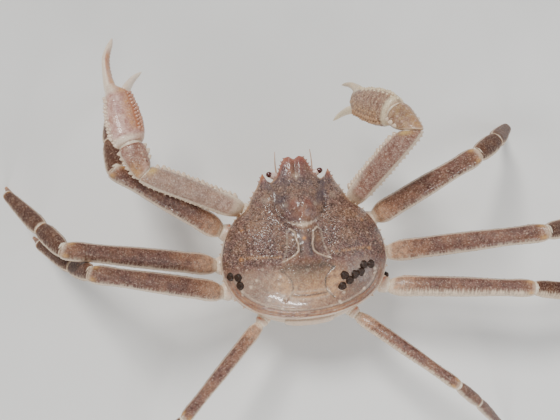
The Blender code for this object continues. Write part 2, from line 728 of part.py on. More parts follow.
def thorax():
    return loft("thorax", body_rings(), "belly")


ABDOMEN_PATH = (  # y, z, half width, half thickness in mm, from the rear edge to the telson
    (-42.5, 67.5, 17.5, 3.0),
    (-45.0, 62.0, 18.0, 3.0),
    (-43.5, 53.0, 17.0, 3.2),
    (-37.5, 44.5, 15.0, 3.6),
    (-29.0, 38.8, 13.0, 3.6),
    (-17.0, 36.6, 10.5, 3.0),
    (-4.0, 36.0, 8.0, 2.8),
    (8.0, 36.0, 5.6, 2.6),
    (15.0, 36.2, 3.4, 2.4),
)
ABDOMEN_SIDES = 12


def abdomen(cutters):
    """The tail flap: an oval section carried round the rear of the body and under the sternum."""
    path = np.array([(0, y, z) for y, z, _, _ in ABDOMEN_PATH]) * MM
    run = np.gradient(path, axis=0)
    rings = []
    turn = np.arange(ABDOMEN_SIDES) * 2 * np.pi / ABDOMEN_SIDES
    for point, along, (_, _, wide, thick) in zip(path, run, ABDOMEN_PATH):
        out = unit(np.cross(unit(along), (1, 0, 0)))
        rings.append(point + np.outer(np.cos(turn), (1, 0, 0)) * wide * MM
                     + np.outer(np.sin(turn), out) * thick * MM)
    flap = loft("abdomen", rings, "belly")
    cut_clear(flap, cutters)


MOUTH_ENDS = ((6.4, 43.5, 44.5), (6.4, 52.2, 62.0))
MOUTH_GIRTH = ((0, 3.0, 2.4), (0.12, 5.0, 3.4), (0.45, 5.9, 4.0), (0.8, 5.6, 3.8), (1, 3.8, 2.8))


def mouthpart(key, sign, cutters):
    """An outer mouth plate: an upright flattened oval on the front wall of the body."""
    foot, head = (np.array(point) * (sign, 1, 1) * MM for point in MOUTH_ENDS)
    axis = head - foot
    plate = loft(f"maxilliped_{key}", plate_rings(
        foot, axis, np.linalg.norm(axis), np.array([1.0, 0, 0]), MOUTH_GIRTH, LEG_SIDES,
        unit(axis), unit(axis)), "belly")
    cut_clear(plate, cutters)


EYE_ENDS = ((15.4, 50.5, 62.0), (18.6, 61.6, 71.2))
EYE_GIRTH = ((0, 2.1, 2.1), (0.5, 2.1, 2.0), (0.8, 2.2, 2.1), (1, 1.6, 1.6))
EYE_SIDES = 10
CORNEA_RADIUS = 2.9 * MM


def eye(key, sign, cutters):
    """An eye: a short stalk out of the socket with the round cornea on its end."""
    root, end = (np.array(point) * (sign, 1, 1) * MM for point in EYE_ENDS)
    axis = end - root
    azimuth = math.degrees(math.atan2(axis[1], axis[0]))
    stalk = loft(f"eye_{key}", plate_rings(
        root, axis, np.linalg.norm(axis), level_side(azimuth), EYE_GIRTH, EYE_SIDES,
        unit(axis), unit(axis)), "eye")
    work = bmesh.new()
    bmesh.ops.create_icosphere(work, subdivisions=2, radius=CORNEA_RADIUS)
    ball_mesh = bpy.data.meshes.new("cornea")
    work.to_mesh(ball_mesh)
    work.free()
    ball = bpy.data.objects.new("cornea", ball_mesh)
    ball.location = end
    bpy.context.scene.collection.objects.link(ball)
    join_pieces(stalk, [ball])
    cut_clear(stalk, cutters)


FEELER_ENDS = ((9.6, 50.0, 66.8), (13.0, 80.0, 73.5))
FEELER_GIRTH = ((0, 1.5, 1.5), (0.25, 1.4, 1.3), (0.42, 0.9, 0.9), (0.7, 0.55, 0.55), (1, 0.3, 0.3))
FEELER_SIDES = 8
FEELER_BOW = 2.0 * MM


def antenna(key, sign, cutters):
    """A short feeler: a stout base beside the mouth and a thin tapering lash."""
    root, end = (np.array(point) * (sign, 1, 1) * MM for point in FEELER_ENDS)
    axis = end - root
    azimuth = math.degrees(math.atan2(axis[1], axis[0]))
    rings = plate_rings(root, axis, np.linalg.norm(axis), level_side(azimuth), FEELER_GIRTH,
                        FEELER_SIDES, unit(axis), unit(axis), np.array([sign, 0, 0]) * FEELER_BOW)
    feeler = loft(f"antenna_{key}", rings, "feeler")
    cut_clear(feeler, cutters)


def centre_on_floor():
    """Hangs every piece on one empty that moves the middle of the outline box over the origin."""
    bpy.context.view_layer.update()
    shown = [obj for obj in bpy.data.objects if obj.type == "MESH"]
    corners = np.array([obj.matrix_world @ vertex.co for obj in shown for vertex in obj.data.vertices])
    middle = (corners.min(axis=0) + corners.max(axis=0)) / 2
    stance = bpy.data.objects.new("stance", None)
    bpy.context.scene.collection.objects.link(stance)
    for obj in shown:
        obj.parent = stance
    stance.location = (-middle[0], -middle[1], 0)


def main():
    clear_scene()
    body_cutter = make_cutter("body_cutter", body_rings(grow=GAP, lift=LID_LIFT))
    carapace()
    thorax()
    abdomen([body_cutter])
    for key, sign in (("l", -1), ("r", 1)):
        mouthpart(key, sign, [body_cutter])
        eye(key, sign, [body_cutter])
        antenna(key, sign, [body_cutter])
        claw(key, body_cutter)
    for key in LEG_POSES:
        leg(key, body_cutter)
    bpy.data.objects.remove(body_cutter)
    centre_on_floor()


main()
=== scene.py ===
"""Looks of an adult snow crab that stands with both claws held up.

Every hard plate of the animal is a surface worked out with numpy: an oval section carried along
the axis of a limb, or a polar grid for the back. The sizes repeat the solids that they cover.
Lengths in the tables and in the fields of the back are millimetres, turns are degrees, and
everything else is metres.
"""

from types import SimpleNamespace

import bpy
import numpy as np
from mathutils import Matrix, Vector


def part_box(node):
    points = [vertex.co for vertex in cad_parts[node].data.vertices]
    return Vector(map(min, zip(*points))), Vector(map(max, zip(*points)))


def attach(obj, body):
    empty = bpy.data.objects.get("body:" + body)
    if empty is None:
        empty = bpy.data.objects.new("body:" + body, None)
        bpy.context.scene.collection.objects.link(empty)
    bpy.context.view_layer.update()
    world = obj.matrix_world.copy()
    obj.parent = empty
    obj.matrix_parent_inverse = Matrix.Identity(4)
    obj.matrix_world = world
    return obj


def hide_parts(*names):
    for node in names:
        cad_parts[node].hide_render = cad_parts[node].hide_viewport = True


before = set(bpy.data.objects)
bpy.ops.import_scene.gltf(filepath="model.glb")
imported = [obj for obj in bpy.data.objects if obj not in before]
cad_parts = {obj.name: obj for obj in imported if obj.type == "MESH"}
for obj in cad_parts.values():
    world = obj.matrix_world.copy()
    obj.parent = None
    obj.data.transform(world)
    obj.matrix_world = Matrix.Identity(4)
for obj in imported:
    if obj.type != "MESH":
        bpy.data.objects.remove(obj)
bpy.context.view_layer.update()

MM = 0.001
GAP = 0.3 * MM
ROOT = "root"
BACK_SEED, CLAW_SEED, LEG_SEED = 5, 20, 40
SIDES = {"l": (-1, 0), "r": (1, 180)}  # sign of x, turn of the outer or rear edge of a section

# The crab's own frame: +X to its right, +Y to its front, the floor at z = 0
HORN_TIP_Y = 74.5 * MM
shell_low, shell_high = (np.array(corner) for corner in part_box("carapace"))
BODY = np.array([(shell_low[0] + shell_high[0]) / 2, shell_high[1] - HORN_TIP_Y, 0.0])


# ---- curves and small functions

def ramp(low, high, value):
    """A smooth rise, 3 t^2 - 2 t^3, from 0 at low to 1 at high; it falls where high is smaller."""
    t = np.clip((value - low) / (high - low), 0, 1)
    return t * t * (3 - 2 * t)


def window(value, low, full, end, high):
    """One from full to end, and a smooth fall to zero at low and at high."""
    return ramp(low, full, value) * ramp(high, end, value)


def bell(value, spread):
    """A bell curve: one at zero, and 0.37 where the value equals the spread."""
    return np.exp(-(np.asarray(value) / spread) ** 2)


def apart(turn, centre):
    """The smaller angle between each turn and the centre, in degrees."""
    return np.abs((turn - centre + 180) % 360 - 180)


def unit(vector):
    """Each vector divided by its length."""
    vector = np.asarray(vector, float)
    return vector / np.linalg.norm(vector, axis=-1, keepdims=True)


def heading(azimuth, climb):
    """The direction at a turn from +X towards +Y and a climb above the level."""
    a, e = np.radians(azimuth), np.radians(climb)
    return np.array([np.cos(a) * np.cos(e), np.sin(a) * np.cos(e), np.sin(e)])


def level_side(azimuth):
    """The level direction a quarter turn on from the azimuth."""
    a = np.radians(azimuth)
    return np.array([-np.sin(a), np.cos(a), 0.0])


def square_to(axis, side):
    """The part of the side that stands square to the axis, at length one."""
    return unit(side - axis * (side @ axis))


def rolled(side, axis, degrees):
    """The side turned about the axis that it stands square to."""
    angle = np.radians(degrees)
    return side * np.cos(angle) + np.cross(unit(axis), side) * np.sin(angle)


def halfway(first, second):
    """The direction that halves the bend between two others."""
    return unit(unit(first) + unit(second))


def turns(sides):
    """Even turns round a ring, in radians."""
    return np.arange(sides) * 2 * np.pi / sides


def circle(turn, across, over):
    """Points across cos t + over sin t."""
    return np.outer(np.cos(turn), across) + np.outer(np.sin(turn), over)


def squared(wave, power):
    """A cosine or sine raised to a power below one, for a section that is a little square."""
    return np.sign(wave) * np.abs(wave) ** power


def section(across, side, over, up):
    """Offsets across times side plus over times up."""
    return across[..., None] * side + over[..., None] * up


def slide(offset, axis, cut, gap):
    """How far each point goes along the axis to stand off the cutting plane by the gap."""
    return (gap - offset @ cut) / (axis @ cut)


def eased(at, places, values):
    """Values at the places, joined by cubic spans; each slope is the mean of its neighbours'."""
    places, values = np.asarray(places, float), np.asarray(values, float)
    slopes = np.gradient(values, places, axis=0)
    at = np.clip(at, places[0], places[-1])
    low = np.clip(np.searchsorted(places, at, side="right") - 1, 0, len(places) - 2)
    width = places[low + 1] - places[low]
    t = (at - places[low]) / width
    if values.ndim > 1:
        t, width = t[:, None], width[:, None]
    return ((2 * t ** 3 - 3 * t ** 2 + 1) * values[low]
            + (t ** 3 - 2 * t ** 2 + t) * width * slopes[low]
            + (3 * t ** 2 - 2 * t ** 3) * values[low + 1]
            + (t ** 3 - t ** 2) * width * slopes[low + 1])


def girths(at, profile):
    """Half widths and half thicknesses, in mm, at the shares of the length."""
    table = np.array(profile, float)
    return eased(at, table[:, 0], table[:, 1:]).T


def catmull(points, split):
    """Points on a smooth curve through the given ones, with each span cut into split pieces."""
    points = np.asarray(points, float)
    padded = np.vstack([2 * points[0] - points[1], points, 2 * points[-1] - points[-2]])
    a, b, c, d = padded[:-3, None], padded[1:-2, None], padded[2:-1, None], padded[3:, None]
    t = (np.arange(split) / split)[None, :, None]
    made = 0.5 * (2 * b + (c - a) * t + (2 * a - 5 * b + 4 * c - d) * t ** 2
                  + (3 * b - a - 3 * c + d) * t ** 3)
    return np.vstack([made.reshape(-1, points.shape[1]), points[-1:]])


def mirrored(half):
    """A closed outline from its half on +X, whose first and last points lie on the middle line."""
    return np.vstack([half, half[-2:0:-1] * (-1, 1)])


def on_side(sign, *places):
    """Places given in mm on the right, moved to the side of the sign."""
    return [np.array(place) * (sign, 1, 1) * MM for place in places]


def line_distance(x, y, points):
    """Distance from each x, y to the nearest place on a broken line."""
    best = np.full(np.shape(x), np.inf)
    for (ax, ay), (bx, by) in zip(points, points[1:]):
        dx, dy = bx - ax, by - ay
        t = np.clip(((x - ax) * dx + (y - ay) * dy) / (dx ** 2 + dy ** 2), 0, 1)
        best = np.minimum(best, np.hypot(x - ax - t * dx, y - ay - t * dy))
    return best


# ---- meshes

MARKS = ("pale", "warm", "dark", "cool", "spot", "red", "grain", "rough", "dots", "highlight_hatch",
         "along", "round")
LONGEST_PLATE = 200 * MM  # the length at which the mark along a limb is one
SPINE_LEVELS = np.array([-0.5, 0.0, 0.25, 0.5, 0.72, 0.9, 1.0])
SHARP = (1.25, 1.15, 0.78, 0.52, 0.33, 0.18, 0.05)
STOUT = (1.3, 1.25, 1.02, 0.8, 0.58, 0.36, 0.1)
SPINE_SIDES = 9
GRAIN_RADIUS = 0.55 * MM


def add(name, data):
    """A new object that holds the data, in the scene."""
    thing = bpy.data.objects.new(name, data)
    bpy.context.scene.collection.objects.link(thing)
    return thing


def tube_faces(rows, sides):
    """Quads between the rings of a tube, and triangles that close both ends on a pole."""
    row, column = np.meshgrid(np.arange(rows - 1), np.arange(sides), indexing="ij")
    after = (column + 1) % sides
    quads = np.stack([row * sides + column, row * sides + after,
                      (row + 1) * sides + after, (row + 1) * sides + column], -1).reshape(-1, 4)
    column, after = np.arange(sides), (np.arange(sides) + 1) % sides
    first, last = np.full(sides, rows * sides), np.full(sides, rows * sides + 1)
    caps = np.vstack([
        np.column_stack([first, after, column]),
        np.column_stack([last, last - sides - 1 + column, last - sides - 1 + after])])
    return quads, caps


def signed_volume(points, quads, caps):
    """Six times the volume that the faces enclose, below zero where they point inwards."""
    tris = np.vstack([quads[:, :3], quads[:, [0, 2, 3]], caps])
    a, b, c = (points[tris[:, i]] for i in range(3))
    return np.einsum("ij,ij->i", a, np.cross(b, c)).sum()


def skin(name, tubes, finish, slot, *nodes):
    """One mesh piece from tubes: each a grid of points (rings x sides) with marks for its finish.

    A pole closes each end of a tube at the middle of its end ring. Faces that point inwards, told
    by the sign of the enclosed volume, are turned round.
    """
    points, faces, marks, count = [], [], {mark: [] for mark in MARKS}, 0
    for grid, given in tubes:
        rows, sides = grid.shape[:2]
        flat = np.vstack([grid.reshape(-1, 3), grid[0].mean(axis=0), grid[-1].mean(axis=0)])
        quads, caps = tube_faces(rows, sides)
        if signed_volume(flat - flat.mean(axis=0), quads, caps) < 0:
            quads, caps = quads[:, ::-1], caps[:, ::-1]
        points.append(flat)
        faces += (quads + count).tolist() + (caps + count).tolist()
        for mark in MARKS:
            field = np.broadcast_to(np.asarray(given.get(mark, 0.0), float), (rows, sides))
            marks[mark] += [field.ravel(), [field[0].mean(), field[-1].mean()]]
        count += len(flat)
    mesh = bpy.data.meshes.new(name)
    mesh.from_pydata((np.vstack(points) + BODY).tolist(), [], faces)
    for mark in MARKS:
        values = np.clip(np.concatenate(marks[mark]), 0, 1).astype(np.float32)
        mesh.attributes.new(mark, "FLOAT", "POINT").data.foreach_set("value", values)
    mesh.shade_smooth()
    mesh.materials.append(finish)
    piece = add(name, mesh)
    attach(piece, ROOT)
    if nodes:
        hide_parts(*nodes)


def spine_tubes(feet, directions, radius, height, marks, widths=SHARP):
    """Spines: round rings that narrow from a sunk root to a point, each a small tube."""
    marks = {"pale": 0.4 + 0.6 * np.clip(SPINE_LEVELS, 0, 1)[:, None], **marks}
    radius, height = np.broadcast_to(radius, len(feet)), np.broadcast_to(height, len(feet))
    tubes = []
    for foot, direction, r, h in zip(feet, unit(directions), radius, height):
        across = unit(np.cross(direction, (0.31, 0.42, 0.85)))
        ring = circle(turns(SPINE_SIDES), across, np.cross(direction, across))
        grid = (foot + direction * (SPINE_LEVELS * h)[:, None, None]
                + ring * (np.array(widths) * r)[:, None, None])
        tubes.append((grid, marks))
    return tubes


def speckled(grid, normals, s, degrees, draw, count, height, chance):
    """Raises round grains at drawn places, kept where chance(share, turn) is higher than a draw.

    Each lifts the points nearer than its radius by height times (1 - (distance / radius)^2)^2.
    Returns the grid, and the lift as a share of the highest grain.
    """
    rows, sides = grid.shape[:2]
    i, j = draw.integers(5, rows - 5, count), draw.integers(0, sides, count)
    keep = draw.random(count) < chance(s[i, 0], degrees[0, j])
    size = draw.uniform(0.7, 1.3, keep.sum())
    flat, lift = grid.reshape(-1, 3), np.zeros(rows * sides)
    for place, scale in zip(grid[i[keep], j[keep]], size):
        gap = ((flat - place) ** 2).sum(axis=1) / (GRAIN_RADIUS * scale) ** 2
        near = gap < 1
        lift[near] = np.maximum(lift[near], (1 - gap[near]) ** 2 * height * scale)
    lift = lift.reshape(rows, sides)
    return grid + normals * lift[..., None], lift / (height * size.max())


# ---- finishes

def tint(red, green, blue):
    """The linear colour of a screen colour."""
    c = np.array([red, green, blue]) / 255
    return (*np.where(c <= 0.04045, c / 12.92, ((c + 0.055) / 1.055) ** 2.4), 1.0)


class Finish:
    """A Principled material whose nodes read Object coordinates and the marks of the mesh."""

    def __init__(self, name, roughness, coat, coat_roughness, specular):
        self.material = bpy.data.materials.new(name)
        self.material.use_nodes = True
        self.tree = self.material.node_tree
        self.shader = self.tree.nodes["Principled BSDF"].inputs
        self.shader["Roughness"].default_value = roughness
        self.shader["Coat Weight"].default_value = coat
        self.shader["Coat Roughness"].default_value = coat_roughness
        self.shader["Specular IOR Level"].default_value = specular
        self.place = self.node("TexCoord").outputs["Object"]

    def put(self, socket, value):
        """Links a socket to the output of a node, or sets its value."""
        if isinstance(value, bpy.types.NodeSocket):
            self.tree.links.new(value, socket)
        else:
            socket.default_value = value

    def node(self, kind, **inputs):
        """A node with values or links in its inputs, where an underscore stands for a space."""
        node = self.tree.nodes.new("ShaderNode" + kind)
        for socket, value in inputs.items():
            self.put(node.inputs[socket.replace("_", " ")], value)
        return node

    def noise(self, size, detail):
        """Noise from 0 to 1 whose features are about size metres across."""
        return self.node("TexNoise", Scale=1 / size, Detail=detail,
                         Vector=self.place).outputs["Fac"]

    def cells(self, size):
        """Distance from the middle of the nearest of scattered cells, in shares of their size."""
        return self.node("TexVoronoi", Scale=1 / size, Vector=self.place).outputs["Distance"]

    def ribs(self, size, turns_apart=2.4):
        """Noise drawn out into short lines that run round a limb, about size metres apart."""
        place = self.node(
            "CombineXYZ", X=self.span(self.mark("along"), 0, 1, 0, LONGEST_PLATE / size),
            Y=self.span(self.mark("round"), 0, 1, 0, turns_apart))
        return self.node("TexNoise", Scale=1, Detail=1,
                         Vector=place.outputs["Vector"]).outputs["Fac"]

    def mark(self, name):
        """A mark of the mesh, from 0 to 1."""
        node = self.node("Attribute")
        node.attribute_name = name
        return node.outputs["Fac"]

    def span(self, value, low, high, to_low=0.0, to_high=1.0):
        """The value moved from low..high to the new span, clamped."""
        return self.node("MapRange", Value=value, From_Min=low, From_Max=high, To_Min=to_low,
                         To_Max=to_high).outputs["Result"]

    def reckon(self, operation, first, second):
        """A sum or product of two values, clamped to 0..1."""
        node = self.node("Math")
        node.operation, node.use_clamp = operation, True
        self.put(node.inputs[0], first)
        self.put(node.inputs[1], second)
        return node.outputs[0]

    def plus(self, first, second):
        """The sum of two values, clamped."""
        return self.reckon("ADD", first, second)

    def times(self, first, second):
        """The product of two values, clamped."""
        return self.reckon("MULTIPLY", first, second)

    def mix(self, share, first, second):
        """The first colour, with the second over it by the share."""
        node = self.node("Mix")
        node.data_type = "RGBA"
        for socket, value in ((0, share), (6, first), (7, second)):
            self.put(node.inputs[socket], value)
        return node.outputs[2]

    def bump(self, height, distance, strength):
        """Tilts the surface as if it rose by the height times the distance."""
        node = self.node("Bump", Strength=strength, Distance=distance, Height=height)
        self.put(self.shader["Normal"], node.outputs["Normal"])


COOL = (90, 76, 82)
BEAD = 1.15 * MM
GRADES = ((11 * MM, 4), (3.2 * MM, 5), (1.1 * MM, 3))  # size and detail of the three noises


def shell_finish(name, low, high, warm, pale, dark, grain, spot, red=(168, 78, 58), speck=0.2,
                 roughness=(0.32, 0.46), coat=0.25, specular=0.5):
    """Wet crab shell: a mottled ground, then layers of colour, each over those before by its share.

    Shares come from noise, from two sizes of cells (pebbles and knobs) and from the marks.
    """
    finish = Finish(name, roughness[0], coat, 0.08, specular)
    span, plus, times, mark = finish.span, finish.plus, finish.times, finish.mark
    broad, mid, fine = (finish.noise(*grade) for grade in GRADES)
    cells, knobs, patches = finish.cells(BEAD), finish.cells(2.7 * BEAD), finish.cells(6.5 * MM)
    rough = mark("rough")
    tops = times(span(cells, 0.34, 0.08), span(fine, 0.42, 0.6))
    blots = times(span(knobs, 0.34, 0.12, 0, 0.5), span(mid, 0.4, 0.6, 0.3, 1))
    colour = finish.mix(span(mid, 0.34, 0.66), tint(*low), tint(*high))
    for share, tone in (
            (mark("cool"), COOL),
            (span(broad, 0.45, 0.75, 0, 0.32), warm),
            (times(mark("warm"), span(mid, 0.36, 0.64, 0.3, 1.3)), warm),
            (times(mark("dark"), span(mid, 0.25, 0.65, 0.45, 1.1)), dark),
            (times(span(cells, 0.42, 0.72, 0, 0.65), rough), dark),
            (times(tops, rough), grain),
            (times(blots, rough), grain),
            (times(span(patches, 0.24, 0.10), mark("dots")), pale),
            (span(fine, 0.54, 0.66, 0, speck), pale),
            # painted highlight: pale short streaks that run round a limb
            (times(span(finish.ribs(1.3 * MM), 0.44, 0.6), mark("highlight_hatch")), pale),
            (times(mark("pale"), span(fine, 0.3, 0.7, 0.6, 1.2)), pale),
            (span(mark("grain"), 0.25, 0.8, 0, 0.85), grain),
            (mark("spot"), spot),
            (mark("red"), red)):
        colour = finish.mix(share, colour, tint(*tone))
    finish.put(finish.shader["Base Color"], colour)
    finish.put(finish.shader["Roughness"], span(mid, 0.3, 0.7, *roughness))
    beads = times(times(span(cells, 0.6, 0.0), rough), 0.6)
    swells = times(times(span(knobs, 0.5, 0.0, 0, 0.8), rough), 0.4)
    grit = times(fine, span(rough, 0, 0.6, 0.05, 0.25))
    finish.bump(plus(plus(beads, swells), grit), 0.8 * MM, 0.8)
    return finish.material


def plain_finish(name, low, high, size, roughness, coat=0.0, coat_roughness=0.1, bump=0.2 * MM,
                 specular=0.5, detail=4):
    """A soft or glossy surface of two close tones in noise of one size."""
    finish = Finish(name, roughness, coat, coat_roughness, specular)
    noise = finish.noise(size, detail)
    shade = finish.mix(finish.span(noise, 0.3, 0.7), tint(*low), tint(*high))
    finish.put(finish.shader["Base Color"], shade)
    if bump:
        finish.bump(noise, bump, 0.7)
    return finish.material


BACK = shell_finish(
    "back_shell", (85, 54, 47), (126, 87, 78), (204, 152, 100), (228, 204, 178), (46, 30, 21),
    (188, 152, 130), (218, 144, 66), red=(158, 78, 62), roughness=(0.26, 0.46), coat=0.5)
LEG = shell_finish(
    "leg_shell", (94, 60, 51), (137, 97, 85), (206, 150, 108), (234, 212, 186), (56, 34, 28),
    (200, 171, 150), (206, 158, 92), roughness=(0.34, 0.5), coat=0.16, specular=0.3)
# Painted shade: a darker copy of the leg shell, with less gloss, for the far plates of the first
# three pairs of legs.
LEG_FAR_SHADED = shell_finish(
    "far_leg_shaded_shell", (88, 54, 44), (130, 88, 74), (206, 146, 100), (234, 210, 182), (58, 34, 26),
    (190, 156, 134), (206, 158, 92), roughness=(0.4, 0.55), coat=0.03, specular=0.1)
ARM = shell_finish(
    "arm_shell", (138, 94, 80), (198, 156, 138), (186, 124, 78), (240, 222, 196), (76, 46, 40),
    (228, 208, 190), (222, 186, 110), speck=0.22, roughness=(0.34, 0.5), specular=0.35)
PALM_L = shell_finish(
    "left_palm_shell", (176, 122, 114), (230, 190, 178), (206, 146, 92), (246, 229, 204),
    (96, 46, 26), (240, 214, 198), (176, 104, 62), roughness=(0.3, 0.44), coat=0.35)
PALM_R = shell_finish(
    "right_palm_shell", (120, 84, 68), (180, 140, 118), (196, 150, 92), (242, 224, 188),
    (78, 50, 36), (218, 190, 164), (178, 128, 88), speck=0.3)
BELLY = shell_finish(
    "belly_shell", (192, 158, 128), (224, 200, 172), (206, 132, 84), (242, 230, 210),
    (120, 84, 62), (236, 218, 194), (190, 92, 56))
SKIN = plain_finish("joint_skin", (214, 192, 162), (244, 232, 212), 1.6 * MM, 0.4, 0.3, 0.2,
                    0.3 * MM)
CORNEA = plain_finish("cornea", (58, 18, 14), (96, 30, 22), 0.7 * MM, 0.12, 1.0, 0.03, 0.05 * MM)
STALK = plain_finish("eye_stalk", (226, 196, 184), (244, 226, 214), 1.8 * MM, 0.35, 0.4, 0.1)
FEELER = plain_finish("feeler_shell", (184, 146, 124), (214, 180, 156), 1.2 * MM, 0.4, 0.2, 0.2)
EGG = plain_finish("egg_case", (20, 12, 8), (72, 48, 33), 1.0 * MM, 0.45, 0.16, 0.2, 0.25 * MM,
                   0.3)


# ---- the back, whose lengths are millimetres until the grid is made, apart from those with MM

FRONT_OUTLINE = [
    (0.0, 72.0), (1.4, 72.9), (3.6, 74.5), (6.4, 73.8), (8.8, 71.2), (11.4, 65.6), (13.8, 60.6),
    (18.4, 56.4), (21.4, 58.4), (24.2, 63.6), (26.6, 58.6),
]
SIDE_OUTLINE = [
    (29.2, 53.6), (33.4, 47.4), (36.2, 41.6), (39.6, 37.0), (47.6, 30.8), (54.6, 21.0), (58.8, 9.5),
    (60.0, -2.5), (58.2, -13.5), (51.8, -26.0), (41.2, -35.0), (27.0, -40.8), (12.4, -43.6),
    (0.0, -44.3),
]
SIDE_LINE = catmull(SIDE_OUTLINE, 12)
OUTLINE_CENTRE = np.array([0.0, 8.0])
MARGIN_Z, BASE_Z, DOME_RISE, RIM_DEPTH = 72.0, 70.0, 20.0, 2.6
SWELLINGS = (  # x, y, spread in x, spread in y, rise
    (0, 34, 10, 11, 4.0), (0, 5, 6, 11, 1.6), (33, 10, 15, 18, 3.2), (25, -22, 12, 8, 1.6),
)
NECK_GROOVE = (0, 38, 18.0, 2.6, -1.8)  # arc: centre x, y, radius, spread, depth
HEART_GROOVE = (13.5, 2, 2.6, 12, -1.3)  # pair of lines: x, y, spreads, depth
LYRE_LINE = ((9.5, 17.6), (6.6, 15.0), (6.2, 10.5), (4.9, 6.0), (5.2, 1.5), (7.8, -1.2),
             (16.7, -5.2))
LYRE_LOBE = ((9.6, 17.6), (12.0, 15.8), (12.6, 9.0), (13.4, 3.0), (16.4, -4.6))
REAR_SEAM = ((19.0, -11.2), (14.5, -14.6), (11.8, -19.0), (11.2, -23.6), (12.3, -27.4),
             (17.3, -32.0))
CROSS_SEAM = ((-11.4, -28.4), (0, -29.2), (11.4, -28.4))
GILL_ROW = ((18.0, -1.6), (26.0, -1.0), (45.0, 0.4))
ANTERIOR_PIT = ((18.6, 50.0), (16.0, 42.0), (12.4, 35.5))
BEAK_TEETH = ((7.0, 73.0), (8.9, 70.6), (10.1, 68.0), (11.2, 65.6), (12.6, 62.8), (14.4, 60.0),
              (25.4, 60.4), (26.8, 57.8))
THORN, TOOTH = (0.95 * MM, 1.75 * MM), (0.8 * MM, 1.5 * MM)  # radius, height
BACK_COLUMNS = 640
BACK_REACH = np.concatenate([np.linspace(0.012, 0.965, 112),
                             1 - 0.035 * (1 - np.linspace(0.08, 1, 14)) ** 2])
UNDERSIDE = (  # share of the outline, share of the depth of the rim
    (0.9995, 0.45), (0.998, 0.8), (0.993, 1.0), (0.985, 1.0), (0.9, 1.0), (0.74, 1.0),
)
GRAIN_SIZES = (  # spacing, radius, height, chance everywhere, further chance where grains are thick
    (1.35, 0.62, 0.36, 0.08, 0.8), (3.6, 0.95, 0.7, 0.03, 0.4),
)
HIGHEST_GRAIN = 0.7


def margin_height(y):
    """Height of the rim: level, higher at the front and lower at the rear."""
    return MARGIN_Z + 5 * ramp(42, 72, y) - 1.5 * ramp(-20, -44, y)


def neck_arc(x, y):
    """Distance outwards from the arc of the neck groove."""
    cx, cy, radius = NECK_GROOVE[:3]
    return np.hypot(x - cx, y - cy) - radius


def back_height(x, y, reach):
    """Flattened dome over the margin, plus the swellings and grooves of the regions."""
    dome = DOME_RISE * (1 - reach ** 2.4) ** 0.6 * (1 - 0.62 * ramp(43, 64, y))
    x = np.abs(x)
    relief = np.zeros_like(dome)
    for cx, cy, sx, sy, rise in SWELLINGS:
        relief += rise * bell(x - cx, sx) * bell(y - cy, sy)
    spread, depth = NECK_GROOVE[3:]
    relief += depth * bell(neck_arc(x, y), spread) * (1 - ramp(38, 50, y))
    cx, cy, sx, sy, depth = HEART_GROOVE
    relief += depth * bell(x - cx, sx) * np.exp(-((y - cy) / sy) ** 4)
    return margin_height(y) + dome + relief * (1 - reach ** 5)


def back_outline():
    """The closed outline, evenly spaced, with its corners a little rounded."""
    loop = mirrored(np.vstack([FRONT_OUTLINE, SIDE_LINE]))
    loop = np.vstack([loop, loop[:1]])
    run = np.concatenate([[0], np.cumsum(np.hypot(*np.diff(loop, axis=0).T))])
    at = np.arange(BACK_COLUMNS) * run[-1] / BACK_COLUMNS
    even = np.column_stack([np.interp(at, run, loop[:, i]) for i in range(2)])
    return (np.roll(even, 1, axis=0) + 2 * even + np.roll(even, -1, axis=0)) / 4


class GrainField:
    """A square raster over the back, on which round grains are stamped and then read anywhere."""

    STEP, CELLS = 0.2, 620
    LOW = np.array([-62.0, -47.0])

    def __init__(self):
        self.height = np.zeros((self.CELLS, self.CELLS))

    def stamp(self, x, y, radius, height):
        """Keeps the higher of what is there and height times (1 - (distance / radius)^2)^1.5."""
        reach = int(radius / self.STEP) + 1
        i, j = ((np.array([x, y]) - self.LOW) / self.STEP).astype(int)
        if min(i, j) < reach or max(i, j) > self.CELLS - reach - 2:
            return
        rows, columns = np.mgrid[i - reach:i + reach + 1, j - reach:j + reach + 1]
        gap = np.hypot(rows * self.STEP + self.LOW[0] - x,
                       columns * self.STEP + self.LOW[1] - y) / radius
        window = self.height[i - reach:i + reach + 1, j - reach:j + reach + 1]
        np.maximum(window, height * np.clip(1 - gap ** 2, 0, 1) ** 1.5, out=window)

    def read(self, x, y):
        """The height at x, y, from the four raster points round it."""
        u, v = (x - self.LOW[0]) / self.STEP, (y - self.LOW[1]) / self.STEP
        i, j = (np.clip(at.astype(int), 0, self.CELLS - 2) for at in (u, v))
        fu, fv = np.clip(u - i, 0, 1), np.clip(v - j, 0, 1)
        h = self.height
        return ((h[i, j] * (1 - fu) + h[i + 1, j] * fu) * (1 - fv)
                + (h[i, j + 1] * (1 - fu) + h[i + 1, j + 1] * fu) * fv)


def grained_back():
    """Fine grains on a jittered grid, thickest on flanks and front, and larger tubercles."""
    draw = np.random.default_rng(BACK_SEED)
    field = GrainField()
    for spacing, radius, height, base, share in GRAIN_SIZES:
        x, y = (grid.ravel() for grid in np.meshgrid(np.arange(-60, 60, spacing),
                                                     np.arange(-44, 73, spacing)))
        x = x + draw.uniform(-0.42, 0.42, x.shape) * spacing
        y = y + draw.uniform(-0.42, 0.42, y.shape) * spacing
        flank = ramp(9, 20, np.abs(x)) * ramp(-12, 2, y)
        hollow = bell(np.hypot(np.abs(x) - 16.5, (y - 39) / 1.9), 6)
        brow = bell(y - 50 + 0.02 * x ** 2, 3) * ramp(16, 10, np.abs(x))
        thick = np.clip(flank + 0.45 * ramp(24, 44, y) + brow, 0, 1) * (1 - hollow)
        keep = draw.random(x.shape) < base * (1 - 0.9 * ramp(-22, -30, y)) + share * thick
        size = draw.uniform(0.75, 1.25, x.shape)
        for gx, gy, scale in zip(x[keep], y[keep], size[keep]):
            field.stamp(gx, gy, radius * scale, height * scale)
    return field


